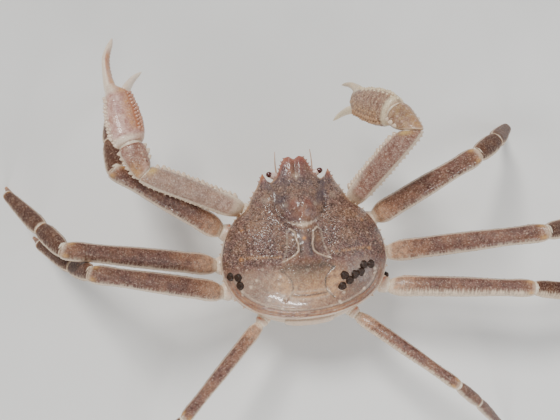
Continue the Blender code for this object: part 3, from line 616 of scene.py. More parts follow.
def regions(x, y, far):
    """Fields of the back: distances to its lines, and masks of its parts.

    far is the share of the way from the middle to the outline, and near(x, y, spread) a round
    patch on both sides.
    """
    side = np.abs(x)
    behind, flap = ramp(-4, -16, y), ramp(0.895, 0.915, far) * ramp(-8, -22, y)
    neck = np.abs(neck_arc(x, y))
    uneven = 0.35 * np.sin(x * 1.9) + 0.25 * np.sin(x * 3.7 + 1)
    waves = np.sin(1.7 * x + 2.3 * np.sin(0.6 * y + 1)) * np.sin(1.9 * y + 2.1 * np.sin(0.7 * x))
    return SimpleNamespace(
        x=x, y=y, far=far, side=side, behind=behind, flap=flap, neck=neck,
        near=lambda px, py, spread: bell(np.hypot(side - px, y - py), spread),
        lyre=line_distance(side, y, LYRE_LINE), lobe=line_distance(side, y, LYRE_LOBE),
        seam=line_distance(side, y, REAR_SEAM), cross=line_distance(x, y, CROSS_SEAM),
        row=line_distance(side, y, GILL_ROW),
        pits=bell(line_distance(side, y, ANTERIOR_PIT), 3.8),
        dome=ramp(11.0, 7.0, np.hypot(x, (y - 33) * 0.95)), beak=ramp(52, 58, y),
        lobes=bell(np.hypot(side - 5.2, y - 35.5), 3.4) + 0.7 * bell(np.hypot(x, y - 27.5), 3.6),
        crescent=(bell(neck + uneven, 0.8 + 1.1 * bell(x, 4)) * ramp(30, 22, y)
                  * ramp(14, 4, side) * (0.75 + 0.35 * bell(x, 5))),
        channel=ramp(5.4, 4.2, side) * window(y, -5, -1, 16, 18.5),
        rim=ramp(0.974, 0.986, far),
        band=bell(y + 10.5 + 0.012 * x ** 2 - 3.5 * bell(side - 14, 7), 2.6) * ramp(21, 15, side),
        mottle=behind * (1 - flap) * ramp(-0.1, 0.8, waves))


def fine_relief(at):
    """What stands on the back besides grains: ripples, folds, seams, lobes, pits and the beak."""
    ripples = (np.sin(at.x * 1.1 + 1.7 * np.sin(at.y * 0.53))
               * np.sin(at.y * 0.9 + 1.9 * np.sin(at.x * 0.41))
               * (1 - ramp(0.9, 0.97, at.far)) * (1 - 0.85 * ramp(-18, -27, at.y)))
    lip = 0.55 * bell(at.far - 0.978, 0.009) - 0.45 * bell(at.far - 0.957, 0.009)
    fold = 0.6 * bell(at.far - 0.885, 0.011) - 0.5 * bell(at.far - 0.907, 0.009)
    ridges = 0.5 * bell(at.side - 3.2, 1.8) - 0.6 * bell(at.x, 1.1)
    return (0.10 * ripples + 0.35 * bell(at.lyre, 0.55) - 0.4 * bell(at.seam, 0.45)
            - 0.35 * bell(at.cross, 0.5)
            + 0.45 * bell(at.row, 0.9) * (0.5 + 0.5 * np.sin(at.side * 1.9))
            + lip * ramp(20, -10, at.y) + fold * ramp(-8, -20, at.y)
            + 0.9 * at.dome + 0.5 * at.lobes - 0.9 * at.pits
            + at.beak * ridges * (1 - ramp(0.93, 0.98, at.far)))


def back_marks(at, grain):
    """Marks of the back, each a sum of weighted bells and ramps over its regions."""
    x, y, far, side, near = at.x, at.y, at.far, at.side, at.near
    behind, beak, flap = at.behind, at.beak, at.flap
    streak = np.sin((far - 0.9) * 190 + 2.2 * np.sin(x * 0.09) + 1.3 * np.sin(x * 0.23 + 1))
    in_lobe = window(side, 5, 6.5, 12.5, 14.5) * window(y, -3, 1, 15.5, 18)
    right_rear = behind * ramp(22, 36, x)
    coarse = (ramp(8, 14, side) * ramp(-10, -2, y) + ramp(26, 44, y)) * (1 - at.pits)
    coarse = (np.clip(coarse, 0, 1) * (1 - 0.9 * at.crescent) * (1 - at.rim) * (1 - 0.55 * beak))
    smooth = ((1 - at.rim) * (1 - at.pits) * (1 - at.channel) * (1 - 0.6 * at.dome)
              * (1 - 0.8 * ramp(-20, -30, y)))
    return {
        "pale": (0.66 * bell(at.lyre, 0.5) + 0.32 * bell(at.lobe, 0.6) + 0.85 * at.crescent
                 + 0.9 * at.rim * ramp(34, 16, y) + 0.35 * behind * bell(at.cross - 2.4, 0.9)
                 + 0.35 * near(10.5, 35, 1.6) + 0.3 * near(24.5, 41, 2.6)
                 # painted highlight: a pale spot and a thin pale line along the middle at the root
                 # of the beak
                 + 0.6 * near(0, 58.5, 2.2) + 0.3 * bell(x, 0.5) * bell(y - 57, 4)
                 + 0.35 * bell(far - 0.885, 0.009) * ramp(-8, -20, y)
                 + 0.04 * flap + behind * (1 - flap) * (0.13 + 0.15 * ramp(5, -15, x))),
        "warm": (0.55 * bell(at.row, 0.9) + 0.3 * bell(at.lyre, 1.1) + 0.3 * flap
                 + 0.35 * bell(np.hypot(side - 17.5, (y + 22) * 0.75), 5.5)
                 + 0.75 * behind * np.exp(-(x / 24) ** 4) * bell(y + 21, 12) + 0.15 * behind
                 + 0.6 * ramp(0.95, 0.99, far) * ramp(22, 40, y)
                 + 0.3 * near(9, 10, 3.5) + 0.2 * near(30, 26, 9) + 0.1 * at.dome),
        "spot": (0.95 * bell(np.hypot(x + 0.5, y - 10), 1.1) + 0.5 * near(45.5, 0, 1.3)
                 + 0.45 * near(43, 21, 1.1) + 0.3 * bell(at.cross - 1.4, 0.6) * bell(x, 8)
                 + 0.55 * near(24.2, 61, 1.8)),
        "red": (0.3 * at.lobes + 0.5 * ramp(0.90, 0.99, far) * ramp(57, 62, y)
                + 0.3 * near(24.2, 58, 2.6) + 0.2 * at.mottle
                + 0.3 * beak * bell(side - 4.2, 3.4) * ramp(54, 66, y)
                + 0.45 * flap * np.clip(streak, 0, 1)),
        "dark": (0.22 * at.mottle + 0.35 * in_lobe + 0.25 * near(19.5, 9, 6) + 0.27 * right_rear
                 + 0.95 * bell(at.seam, 0.6) + 0.95 * bell(at.cross, 0.6) + 0.7 * at.band
                 + 0.3 * near(17, -11, 2.8) + 0.75 * behind * ramp(16, 11, side) * ramp(-27, -12, y)
                 + 0.45 * bell(at.neck, 2.0) * ramp(46, 34, y) * (1 - at.crescent)
                 + 0.55 * at.channel * bell(side - 3.4, 1.5) + 0.3 * at.pits
                 + 0.35 * bell(far - 0.964, 0.005) * ramp(20, -10, y)
                 + 0.45 * bell(far - 0.905, 0.006) * ramp(-8, -20, y)
                 + 0.5 * bell(at.lyre - 1.3, 0.7) * ramp(-4, 2, y)
                 + 0.35 * bell(y - 13.6, 0.4) * at.channel),
        "cool": (0.85 * at.pits + 0.7 * at.channel + 0.5 * beak + 0.4 * right_rear
                 + 0.35 * behind * ramp(20, 34, side) + 0.3 * ramp(48, 54, y) * (1 - beak)
                 + 0.22 * ramp(20, 26, y) * ramp(16, 10, side) * (1 - beak)),
        "grain": grain / HIGHEST_GRAIN,
        "rough": np.maximum(coarse, 0.3 * smooth),
        "dots": 0.55 * behind * ramp(12, 20, side) + 0.3 * behind}


def margin_spines():
    """Thorns along the side of the outline, and teeth on the edge of the beak and the horns."""
    along = (np.linspace(0.04, 0.74, 17) * (len(SIDE_LINE) - 1)).astype(int)
    points, run = SIDE_LINE[along], unit(np.gradient(SIDE_LINE, axis=0))[along]
    edge = np.array(BEAK_TEETH)
    thorns, teeth = [], []
    for sign in (-1, 1):
        feet = np.column_stack([points * (sign, 1), margin_height(points[:, 1]) - 0.6])
        ways = np.column_stack([-run[:, 1] * sign, run[:, 0], np.full(len(run), 0.25)])
        thorns += spine_tubes(feet * MM, ways, *THORN, {"warm": 0.35})
        feet = np.column_stack([edge * (sign, 1), margin_height(edge[:, 1]) - 0.3])
        ways = np.tile([0.9 * sign, 0.5, 0.35], (len(edge), 1))
        teeth += spine_tubes(feet * MM, ways, *TOOTH, {"red": 0.55, "pale": 0.15})
    return thorns + teeth


def back_shell():
    """The carapace: polar grid of the back, rounded rim, and the hidden flat underside.

    Its rings are the outline drawn in towards the centre, and its height is that of the back with
    grains and fine relief. Only the pale and warm marks go on under the rim.
    """
    outline = back_outline() - OUTLINE_CENTRE
    x, y = np.moveaxis(OUTLINE_CENTRE + outline * BACK_REACH[:, None, None], 2, 0)
    far = np.broadcast_to(BACK_REACH[:, None], x.shape)
    at = regions(x, y, far)
    grain = grained_back().read(x, y) * (1 - ramp(0.955, 0.985, far))
    rings = [np.stack([x, y, back_height(x, y, far) + grain + fine_relief(at)], -1)]
    for share, drop in UNDERSIDE:
        plan = OUTLINE_CENTRE + outline * share
        low = np.maximum(margin_height(plan[:, 1]) - RIM_DEPTH * drop, BASE_Z)
        if share < 0.99:
            low = BASE_Z + (low - BASE_Z) * ramp(55, 58, plan[:, 1])
        rings.append(np.column_stack([plan, low])[None])
    marks = {}
    for mark, field in back_marks(at, grain).items():
        under = field[-1:] * (mark in ("pale", "warm"))
        marks[mark] = np.vstack([field, np.repeat(under, len(UNDERSIDE), axis=0)])
    tubes = [(np.concatenate(rings) * MM, marks)] + margin_spines()
    skin("carapace_shell", tubes, BACK, "shell_top", "carapace")


def on_back(x, y):
    """The place on the back over x, y, from the share of the way to the outline there."""
    outline = back_outline() - OUTLINE_CENTRE
    offset = np.array([x, y]) - OUTLINE_CENTRE
    angles = np.arctan2(outline[:, 0], outline[:, 1])
    nearest = np.argmin(np.abs((angles - np.arctan2(*offset) + np.pi) % (2 * np.pi) - np.pi))
    share = np.hypot(*offset) / np.hypot(*outline[nearest])
    return np.array([x, y, float(back_height(float(x), float(y), share))])


EGG_CASES = (
    (40.0, -11.5), (45.6, -11.2), (37.6, -16.3), (33.0, -17.8), (25.2, -18.0), (28.6, -21.6),
    (23.1, -25.2), (-54.0, -10.3), (-48.6, -12.0), (-47.6, -17.6),
)
HIP_EGG = ((60.0, -16.3, 59.2), (0.433, 0.833, 0.356))  # one more on a hip: place, direction
EGG_RADII = np.array([3.0, 3.05, 2.9, 2.6, 2.45, 2.1, 1.6, 0.95, 0.3])
EGG_RISES = np.array([-0.9, 0.12, 0.34, 0.42, 1.05, 1.5, 1.68, 1.55, 1.42])
EGG_SIDES = 28


def egg_cases():
    """Dark egg cases on the rear of the back: low domes with a flat brim and a dimpled top.

    Their rings have the radii and rises of the tables, with a slight wobble round each.
    """
    seats = []
    for x, y in EGG_CASES:
        slope = (on_back(x - 1, y)[2] - on_back(x + 1, y)[2],
                 on_back(x, y - 1)[2] - on_back(x, y + 1)[2], 2.0)
        seats.append((on_back(x, y), slope))
    turn = turns(EGG_SIDES)
    tubes = []
    for number, (foot, slope) in enumerate(seats + [HIP_EGG]):
        normal = unit(slope)
        across = unit(np.cross(normal, (0.2, 0.9, 0.1)))
        wobble = 1 + 0.04 * np.sin(3 * turn + number) + 0.03 * np.sin(5 * turn + 2 * number)
        ring = circle(turn, across, np.cross(normal, across)) * wobble[:, None]
        grid = foot + normal * EGG_RISES[:, None, None] + ring * EGG_RADII[:, None, None]
        tubes.append((grid * MM, {}))
    skin("egg_cases", tubes, EGG, "shell_top")


# ---- plates of the limbs

SQUARENESS = 0.88


def plate(start, axis, length, side, profile, cut_start, cut_end, rows, sides, bow=0, corner=1.1,
          shape=lambda s, d: 1.0):
    """An oval section carried along the axis, with rounded edges where it meets the joints.

    The point at share s and turn t is start + axis s length + side w(s) cos t + up h(s) sin t, slid
    along the axis near each end onto the cutting plane of the joint. Returns the grid, its outward
    normals, the shares as a column and the turns in degrees as a row.
    """
    axis = unit(axis)
    up = np.cross(axis, side)
    corner_share = corner * MM / length
    arc = np.radians(np.linspace(90, 0, 6))
    lead, cut_back = corner_share * (1 - np.sin(arc)), corner * (1 - np.cos(arc))
    share = np.concatenate([[0, 0], lead, np.linspace(corner_share, 1 - corner_share, rows)[1:-1],
                            1 - lead[::-1], [1, 1]])
    trim = np.concatenate([[corner] * 2, cut_back, np.zeros(rows - 2), cut_back[::-1],
                           [corner] * 2])
    shrink = np.concatenate([[0.3, 0.65], np.ones(len(share) - 4), [0.65, 0.3]])
    wide, thick = ((girth - trim) * shrink * MM for girth in girths(share, profile))
    wide, thick = wide[:, None], thick[:, None]
    turn = turns(sides)
    s, degrees = share[:, None], np.degrees(turn)[None, :]
    fade = window(s, 0, 3 * corner_share, 1 - 3 * corner_share, 1)
    grow = 1 + (shape(s, degrees) - 1) * fade
    offset = section(wide * squared(np.cos(turn), SQUARENESS) * grow, side,
                     thick * squared(np.sin(turn), SQUARENESS) * grow, up)
    along = (s * length + (1 - s) ** 1.5 * slide(offset, axis, cut_start, GAP / 2)
             + s ** 1.5 * slide(offset, axis, cut_end, -GAP / 2))
    grid = (np.asarray(start, float) + along[..., None] * axis + offset
            + np.sin(np.pi * s)[..., None] * np.asarray(bow))
    normals = unit(section(thick * np.cos(turn), side, wide * np.sin(turn), up))
    return grid, normals, s, degrees


def plain_plate(root, end, profile, rows, sides, side=None, cut=None, **options):
    """A plate between two places, square at the root, and at the end where no cut is given.

    Its side is level unless it is given. Returns the grid, the shares and the turns.
    """
    axis = end - root
    if side is None:
        side = level_side(np.degrees(np.arctan2(axis[1], axis[0])))
    cut = unit(axis) if cut is None else cut
    grid, _, s, degrees = plate(root, axis, np.linalg.norm(axis), side, profile, unit(axis), cut,
                                rows, sides, **options)
    return grid, s, degrees


def joint_skin(name, joints):
    """Soft pale sleeves that bridge the joints of one limb.

    Each is a short barrel on the line that halves the bend, with fine folds across it.
    """
    along = np.linspace(-1, 1, 13)
    fold = 1 - 0.03 * (np.arange(13) % 2) - 0.10 * along ** 4
    tubes = []
    for place, axis, side, wide, thick, half in joints:
        axis = unit(axis)
        side = square_to(axis, side)
        ring = circle(turns(32), side * wide, np.cross(axis, side) * thick)
        grid = axis * (along * half)[:, None, None] + ring * fold[:, None, None]
        tubes.append((place + grid * MM, {}))
    skin(name, tubes, SKIN, "belly")


MERUS, CARPUS, PROPODUS, DACTYL = range(4)
LEG_LENGTHS = {1: (90, 35, 60, 50), 2: (114, 40, 67, 53), 3: (103, 37, 60, 49), 4: (86, 27, 46, 36)}
LEG_GIRTH = {1: 1.07, 2: 1.0, 3: 0.98, 4: 0.66}
COXA_SCALE = {1: 0.94, 2: 1.0, 3: 0.98, 4: 0.66}
LEG_SOCKETS = {1: (44, 22, 54), 2: (46, 2, 54), 3: (46, -15, 54), 4: (29, -35, 53)}
LEG_HIPS = {1: (58, 27.5, 58), 2: (64, 2, 58), 3: (61, -21, 58), 4: (36, -44, 56)}
HIP_SWING = {"l3": (0, 3, 0), "r2": (0, -2, 0), "r3": (1, -4, 0)}
LEG_POSES = {  # azimuth and climb of merus, carpus and propodus, azimuth of the dactyl
    "l1": ((149.5, 28.5), (99, -38), (97, -47), 93),
    "l2": ((174, 32), (133, -44), (132, -40), 126),
    "l3": ((171, 36), (147, -57), (141, -46), 135),
    "l4": ((-134, 16), (-140, -38), (-137, -47), -135),
    "r1": ((21.5, 38), (34, -38), (39, -52), 42),
    "r2": ((-3, 30), (12, -38), (18, -46), 22),
    "r3": ((-8, 11), (-7, -22), (-6, -36), -6),
    "r4": ((-43, 14), (-38, -36), (-40, -45), -40),
}
# Profiles: share of the length, half width, half thickness
COXA_GIRTH = ((0, 8.2, 7.0), (0.55, 7.8, 6.6), (0.85, 6.6, 5.6), (1, 5.4, 4.6))
LEG_PROFILES = {
    MERUS: ((0, 5.0, 4.2), (0.05, 6.7, 5.3), (0.25, 7.3, 5.7), (0.55, 7.0, 5.3),
            (0.82, 6.1, 4.8), (0.95, 6.3, 5.0), (1, 5.5, 4.6)),
    CARPUS: ((0, 4.8, 4.1), (0.16, 5.8, 4.8), (0.5, 6.3, 5.0), (0.84, 6.1, 4.8), (1, 5.3, 4.3)),
    PROPODUS: ((0, 4.7, 3.9), (0.1, 5.8, 4.4), (0.35, 5.9, 4.2), (0.7, 4.8, 3.6),
               (0.93, 4.0, 3.2), (1, 3.6, 2.9)),
    DACTYL: ((0, 3.2, 2.6), (0.12, 3.5, 2.9), (0.4, 2.9, 2.4), (0.7, 2.1, 1.8),
             (0.9, 1.5, 1.4), (1, 1.3, 1.2)),
}
LEG_NAMES = {MERUS: "merus", CARPUS: "carpus", PROPODUS: "propodus", DACTYL: "dactyl"}
LEG_ROWS = {MERUS: 110, CARPUS: 70, PROPODUS: 70, DACTYL: 70}
LEG_GRAINS = {MERUS: 420, CARPUS: 200, PROPODUS: 200}
LEG_BOWS = {MERUS: 1.5 * MM, DACTYL: -2.2 * MM}  # how far the middle of a plate stands up
CREAM_FLANK = {"r3": 0.75, "r4": 0.4}  # how pale the rear flank of a leg is
GRAIN_HEIGHT, CLAW_GRAIN_HEIGHT = 0.24 * MM, 0.26 * MM


def scaled(profile, factor):
    """The profile with its widths and thicknesses times the factor."""
    return np.array(profile) * (1, factor, factor)


def pair_of_bells(degrees, first, second, spread):
    """Two bell curves round a section, at two turns."""
    return bell(apart(degrees, first), spread) + bell(apart(degrees, second), spread)


def leg_marks(part, s, degrees, rear, cream):
    """Marks of a leg plate: pale edges and underside, orange root and knuckles, darker top, pale
    streaks of painted highlight on the flanks, and painted shade on the carpus and propodus.
    """
    top = np.sin(np.radians(degrees))
    away = apart(degrees, rear)
    lean = 26 if part == MERUS else 16
    back_edge, front_edge = (14, 180 - lean) if rear == 0 else (166, lean)
    edges = bell(apart(degrees, back_edge), 9) + 0.8 * bell(apart(degrees, front_edge), 9)
    flank = ramp(40 + 45 * cream, 22 + 25 * cream, away) * (0.35 + 0.45 * cream)
    # Painted highlight: pale short streaks across the flank, like glints on a wet shell.
    highlight_hatch = ((0.5 + 0.45 * cream) * ramp(12, 24, away)
             * ramp(62 + 34 * cream, 30 + 30 * cream, away) * window(s, 0.03, 0.12, 0.9, 0.98))
    pale = (edges + 0.6 * ramp(-0.1, -0.75, top) + flank + 0.9 * ramp(0.05, 0.01, s)
            + 0.5 * ramp(0.965, 0.99, s))
    warm = 0.25 * ramp(0.9, 0.97, s)
    dark = 0.4 * ramp(0.3, 0.9, top) * (1 - ramp(0.93, 0.99, s))
    if part == MERUS:
        warm = warm + 0.65 * ramp(0.34, 0.04, s) * ramp(-0.4, 0.4, top)
        pale = pale + 0.2 * ramp(0.22, 0.04, s)
        dark = 0.4 * dark * ramp(0.06, 0.3, s)
    elif part == DACTYL:
        warm = warm + 0.8 * ramp(0.62, 0.95, s) + 0.15
        dark, pale = dark * 0.5, pale * 0.6
    else:
        # painted shade: the carpus and propodus are darker all over, most of all on their upper
        # side, as if in shadow
        dark = dark * 1.2 + 0.2 * ramp(-0.1, 0.3, top)
    hard = part != DACTYL
    return {"pale": pale, "warm": warm, "dark": dark, "highlight_hatch": highlight_hatch * hard,
            "spot": 0.75 * bell(s - 0.965, 0.02) * pair_of_bells(degrees, 50, 130, 16),
            "along": s * LEG_LENGTHS[3][part] * MM / LONGEST_PLATE, "round": away / 180,
            "rough": 0.55 * ramp(0.0, 0.5, top) * hard}


def leg_shape(s, degrees):
    """Growth of a leg section: low keels on both edges and swollen knuckles at the far end."""
    keels = pair_of_bells(degrees, 0, 180, 9)
    knuckles = bell(s - 0.965, 0.03) * pair_of_bells(degrees, 55, 125, 22)
    return 1 + 0.045 * keels + 0.06 * knuckles + 0.006 * np.sin(s * 160) * keels


def leg_grains(s, degrees):
    """Chance of a grain on a leg, highest along both edges."""
    return 0.28 + 0.7 * pair_of_bells(degrees, 0, 180, 16)


def leg(key, draw):
    """One walking leg from its hip to the floor, plate by plate."""
    pair = int(key[1])
    sign, rear = SIDES[key[0]]
    girth = LEG_GIRTH[pair]
    lengths = np.array(LEG_LENGTHS[pair]) * MM
    pose = LEG_POSES[key]
    socket, hip = on_side(sign, LEG_SOCKETS[pair], LEG_HIPS[pair])
    joints = [hip + np.array(HIP_SWING.get(key, (0, 0, 0))) * MM]
    directions = [heading(*angles) for angles in pose[:DACTYL]]
    sides = [level_side(azimuth) for azimuth, _ in pose[:DACTYL]] + [level_side(pose[DACTYL])]
    for direction, length in zip(directions, lengths):
        joints.append(joints[-1] + direction * length)
    drop = np.degrees(np.arcsin(joints[-1][2] / lengths[DACTYL]))
    directions.append(heading(pose[DACTYL], -drop))

    cut = halfway(joints[0] - socket, directions[MERUS])
    grid, s, degrees = plain_plate(
        socket, joints[0], scaled(COXA_GIRTH, COXA_SCALE[pair]), 44, 48, cut=cut,
        shape=lambda s, d: 1 - 0.09 * bell(s - 0.62, 0.035) + 0.04 * bell(s - 0.75, 0.06))
    knob = 90 + 30 * np.cos(np.radians(rear))
    marks = {"pale": 0.45 + 0.4 * bell(s - 0.62, 0.05) + 0.4 * ramp(0.86, 1.0, s),
             "spot": 0.8 * bell(s - 0.76, 0.07) * bell(apart(degrees, knob), 34),
             "warm": 0.4 * ramp(0.1, 0.8, np.sin(np.radians(degrees)))}
    skin(f"leg_{key}_hip_plate", [(grid, marks)], BELLY, "belly", f"leg_{key}_coxa")

    sleeves = [(joints[0], cut, sides[MERUS], 4.9 * girth, 4.2 * girth, 3.2)]
    for part in LEG_NAMES:
        start_cut, last = cut, part == DACTYL
        if last:
            cut = np.array([0.0, 0.0, -1.0])
        else:
            cut = halfway(directions[part], directions[part + 1])
            _, wide, thick = LEG_PROFILES[part][-1]
            sleeves.append((joints[part + 1], cut, sides[part], wide * girth * 0.93,
                            thick * girth * 0.93, 2.6 * girth))
        up = np.cross(directions[part], sides[part])
        grid, normals, s, degrees = plate(
            joints[part], directions[part], lengths[part], sides[part],
            scaled(LEG_PROFILES[part], girth), start_cut, cut, LEG_ROWS[part], 32 if last else 56,
            LEG_BOWS.get(part, 0) * girth * up, (0.5 if last else 1.0) * girth, leg_shape)
        marks = leg_marks(part, s, degrees, rear, CREAM_FLANK.get(key, 0.0))
        if pair == 4:
            marks["dark"] = 0.4 * marks["dark"]
        if last:
            grid[..., 2] = np.maximum(grid[..., 2], 0.0)
        else:
            grid, marks["grain"] = speckled(grid, normals, s, degrees, draw, LEG_GRAINS[part],
                                            GRAIN_HEIGHT, leg_grains)
        # the far plates of the first three pairs take the darker copy of the leg shell, as painted
        # shade
        finish = LEG if part == MERUS or pair == 4 else LEG_FAR_SHADED
        skin(f"leg_{key}_{LEG_NAMES[part]}_plate", [(grid, marks)], finish, "shell_leg",
             f"leg_{key}_{LEG_NAMES[part]}")
    joint_skin(f"leg_{key}_joint_skin", sleeves)


# ---- the claws

CLAW_SOCKET, CLAW_SHOULDER = (32, 33, 57), (42, 41, 62)
ARM_PART, WRIST, PALM = range(3)
CLAW_NAMES = {ARM_PART: "merus", WRIST: "carpus", PALM: "palm"}
CLAW_LENGTHS = {ARM_PART: 82, WRIST: 21, PALM: 43}
CLAW_ROWS = {ARM_PART: 100, WRIST: 44}
CLAW_GRAINS = {ARM_PART: 420, WRIST: 160, PALM: 420}
FIXED_FINGER, MOVING_FINGER = 44, 39
CLAW_POSES = {  # azimuth and climb of arm, wrist, palm, fixed and moving finger
    "l": ((162, 35), (112, 4), (100, -7), (92, -7), (70, -46)),
    "r": ((40, 57), (109, -30), (134, -46), (98, -56), (154, -72)),
}
CLAW_ROLL = {"l": 14, "r": 42}
CLAW_PROFILES = {
    ARM_PART: ((0, 5.8, 5.2), (0.07, 7.3, 6.6), (0.3, 8.1, 7.3), (0.62, 8.2, 7.5),
               (0.9, 7.6, 7.0), (1, 6.5, 6.0)),
    WRIST: ((0, 6.2, 5.8), (0.22, 7.6, 7.0), (0.6, 8.9, 7.9), (0.85, 9.2, 7.8), (1, 8.2, 7.0)),
    PALM: ((0, 7.8, 6.8), (0.08, 10.4, 8.4), (0.25, 12.3, 9.3), (0.5, 12.4, 9.3),
           (0.8, 10.4, 8.2), (1, 8.4, 6.7)),
}
CLAW_COXA_GIRTH = ((0, 8.6, 8.0), (0.5, 8.4, 7.6), (0.82, 7.2, 6.6), (1, 6.2, 5.6))
FINGER_PROFILE = ((0, 5.0, 5.0), (0.16, 5.0, 4.8), (0.3, 4.1, 4.0), (0.45, 3.0, 3.1),
                  (0.62, 2.6, 2.7), (0.8, 2.3, 2.3), (0.93, 1.7, 1.6), (1, 0.5, 0.5))
MOVING_PROFILE = ((0, 3.1, 4.2), (0.14, 3.2, 4.1), (0.4, 2.8, 3.1), (0.65, 2.2, 2.3),
                  (0.88, 1.4, 1.4), (1, 0.4, 0.4))
FINGER_BOW, MOVING_BOW = 4.2 * MM, 1.9 * MM
FINGER_OFFSET, MOVING_OFFSET = 3.0 * MM, 5.9 * MM
FINGER_SINK, MOVING_SINK = 9 * MM, 3.5 * MM
FINGER_TIP = {"l": (2.4, 0.0), "r": (0.0, 0.4)}  # how far the tip hooks inwards, how much it thins
PALM_STATIONS = (0, 0.04, 0.09, 0.16, 0.24, 0.34, 0.45, 0.56, 0.68)
PALM_TAPER = (  # share of the palm, inner and outer edge, half thickness: the palm's shoulder
    (0.80, -10.4, 10.4, 8.2), (0.88, -9.6, 9.8, 7.6), (0.94, -8.6, 9.2, 7.1),
    (0.99, -6.6, 8.6, 6.4),
)
FINGER_STATIONS = (0.27, 0.34, 0.42, 0.52, 0.62, 0.72, 0.82, 0.90, 0.955, 0.985, 1.0)
PALM_ROWS, PALM_SIDES = 190, 72
SPINE_ROWS = {  # turn away from the outer edge towards the top, first and last share, count, size
    ARM_PART: ((168, 0.12, 0.94, 17, 1.25), (4, 0.2, 0.94, 16, 0.6), (150, 0.3, 0.9, 9, 0.45)),
    WRIST: ((172, 0.35, 0.85, 3, 1.0), (0, 0.15, 0.9, 6, 0.9), (70, 0.3, 0.85, 4, 0.5),
            (118, 0.35, 0.8, 3, 0.55)),
    PALM: ((4, 0.06, 0.9, 15, 0.9), (26, 0.12, 0.8, 8, 0.6), (142, 0.2, 0.9, 12, 0.95),
           (124, 0.22, 0.88, 11, 0.75), (106, 0.28, 0.75, 7, 0.5), (62, 0.16, 0.8, 6, 0.35)),
}
SPINE_RADIUS, SPINE_HEIGHT = 1.4 * MM, 1.9 * MM  # of a spine of size one
# The white band at the palm's root is partly its own pale colour and partly painted highlight.
WRIST_BAND = 0.17  # share of the palm at which its white band ends
KNOB_RISE, KNOB_INSET, KNOB_RADIUS = 3.6 * MM, 0.5 * MM, 2.3 * MM


def arm_marks(s, away, top, left):
    """Marks of an arm: pale edges, root and underside, a gold knuckle, a darker upper face."""
    wide = 30 if left else 48
    front = ramp(132, 152, away) if left else ramp(140, 158, away)
    return {
        "pale": (0.16 * left + 0.5 * ramp(-0.2, -0.9, top) + 0.95 * ramp(0.17, 0.05, s)
                 + 0.8 * ramp(wide, wide * 0.66, away) + 0.65 * front
                 + 0.8 * ramp(0.42, 0.16, s) * ramp(100, 140, away)),
        "warm": 0.4 * bell(s - 0.97, 0.05),
        "dark": 0.2 * ramp(0.1, 0.9, top) * ramp(0.2, 0.5, s),
        "spot": 0.75 * bell(s - 0.97, 0.03) * bell(apart(away, 110), 26) * (top > 0),
        "rough": 0.6 * ramp(-0.2, 0.4, top) * ramp(0.05, 0.25, s)}


def wrist_marks(s, away, top, left):
    """Marks of a wrist: gold at its root, a red line at its end, ochre mottling on the right."""
    gold = bell(away - 55, 34) * bell(s - 0.22, 0.24)
    ochre = ramp(-0.5, 0.8, np.sin(15 * s + 2.3 * np.sin(0.06 * away))
                 * np.sin(0.07 * away + 3 * np.sin(7 * s)))
    return {
        "pale": (0.5 * ramp(-0.2, -0.9, top) + 0.85 * ramp(38, 20, away)
                 + 0.35 * bell(s - 0.05, 0.05)),
        "warm": 0.9 * gold + 0.6 * bell(s - 0.97, 0.05) - (0 if left else 0.1),
        "spot": 0.25 * gold if left else 0.1 + 0.16 * ochre,
        "cool": 0 if left else 0.08,
        "red": 0.5 * bell(s - 0.985, 0.02),
        "dark": (0.35 * bell(away - 95, 30) * bell(s - 0.6, 0.25) + 0.3 * bell(s - 0.93, 0.03)
                 + (0 if left else 0.22)),
        "rough": 0.48 * ramp(-0.2, 0.4, top) * ramp(0.05, 0.25, s)}


def palm_marks(share, away, top, left):
    """Marks of the palm and its finger: white wrist band, partly its own pale colour and partly
    painted highlight, orange inner band, two-toned finger.
    """
    band = window(share, 0.14, 0.26, 0.9, 1.02)
    on_finger = ramp(1.0, 1.12, share)
    on_palm = 1 - on_finger
    streak = ramp(64, 98, away) * on_finger * ramp(1.46, 1.34, share) * (1 if left else 0.25)
    pale = (0.35 * ramp(-0.2, -0.9, top)
            # white band at the palm's root: partly pale colour, partly painted highlight
            + 0.85 * ramp(WRIST_BAND, WRIST_BAND - 0.08, share)
            * (1 - 0.6 * ramp(70, 120, away) * left)
            + (0.35 if left else 0.1) * ramp(32, 18, away) + 0.85 * on_finger * (1 - 0.85 * streak)
            + 0.7 * ramp(0.86, 0.99, share) * ramp(110, 60, away + (0 if left else 40)) * on_palm)
    warm = (0.85 * bell(away - 104, 14) * band
            + 0.85 * ramp(0.84, 0.97, share) * ramp(50, 95, away) * on_palm
            + 0.75 * streak + 0.5 * ramp(0.2, 0.1, share) * ramp(70, 120, away))
    spot = 0.9 * window(away, 108, 118, 140, 154) * (top > -0.5) * band
    if not left:
        pale, spot = pale - 0.3 * on_finger, spot * 0.25
        warm = warm * (0.5 + 0.5 * on_finger) + 0.4 * on_finger
    return {"pale": pale, "warm": warm, "spot": spot + 0.35 * streak * ramp(1.2, 1.3, share),
            "red": 0.5 * bell(share - 0.015, 0.02),
            "rough": (0.35 if left else 0.65) * ramp(-0.2, 0.4, top) * on_palm}


CLAW_MARKS = {ARM_PART: arm_marks, WRIST: wrist_marks, PALM: palm_marks}


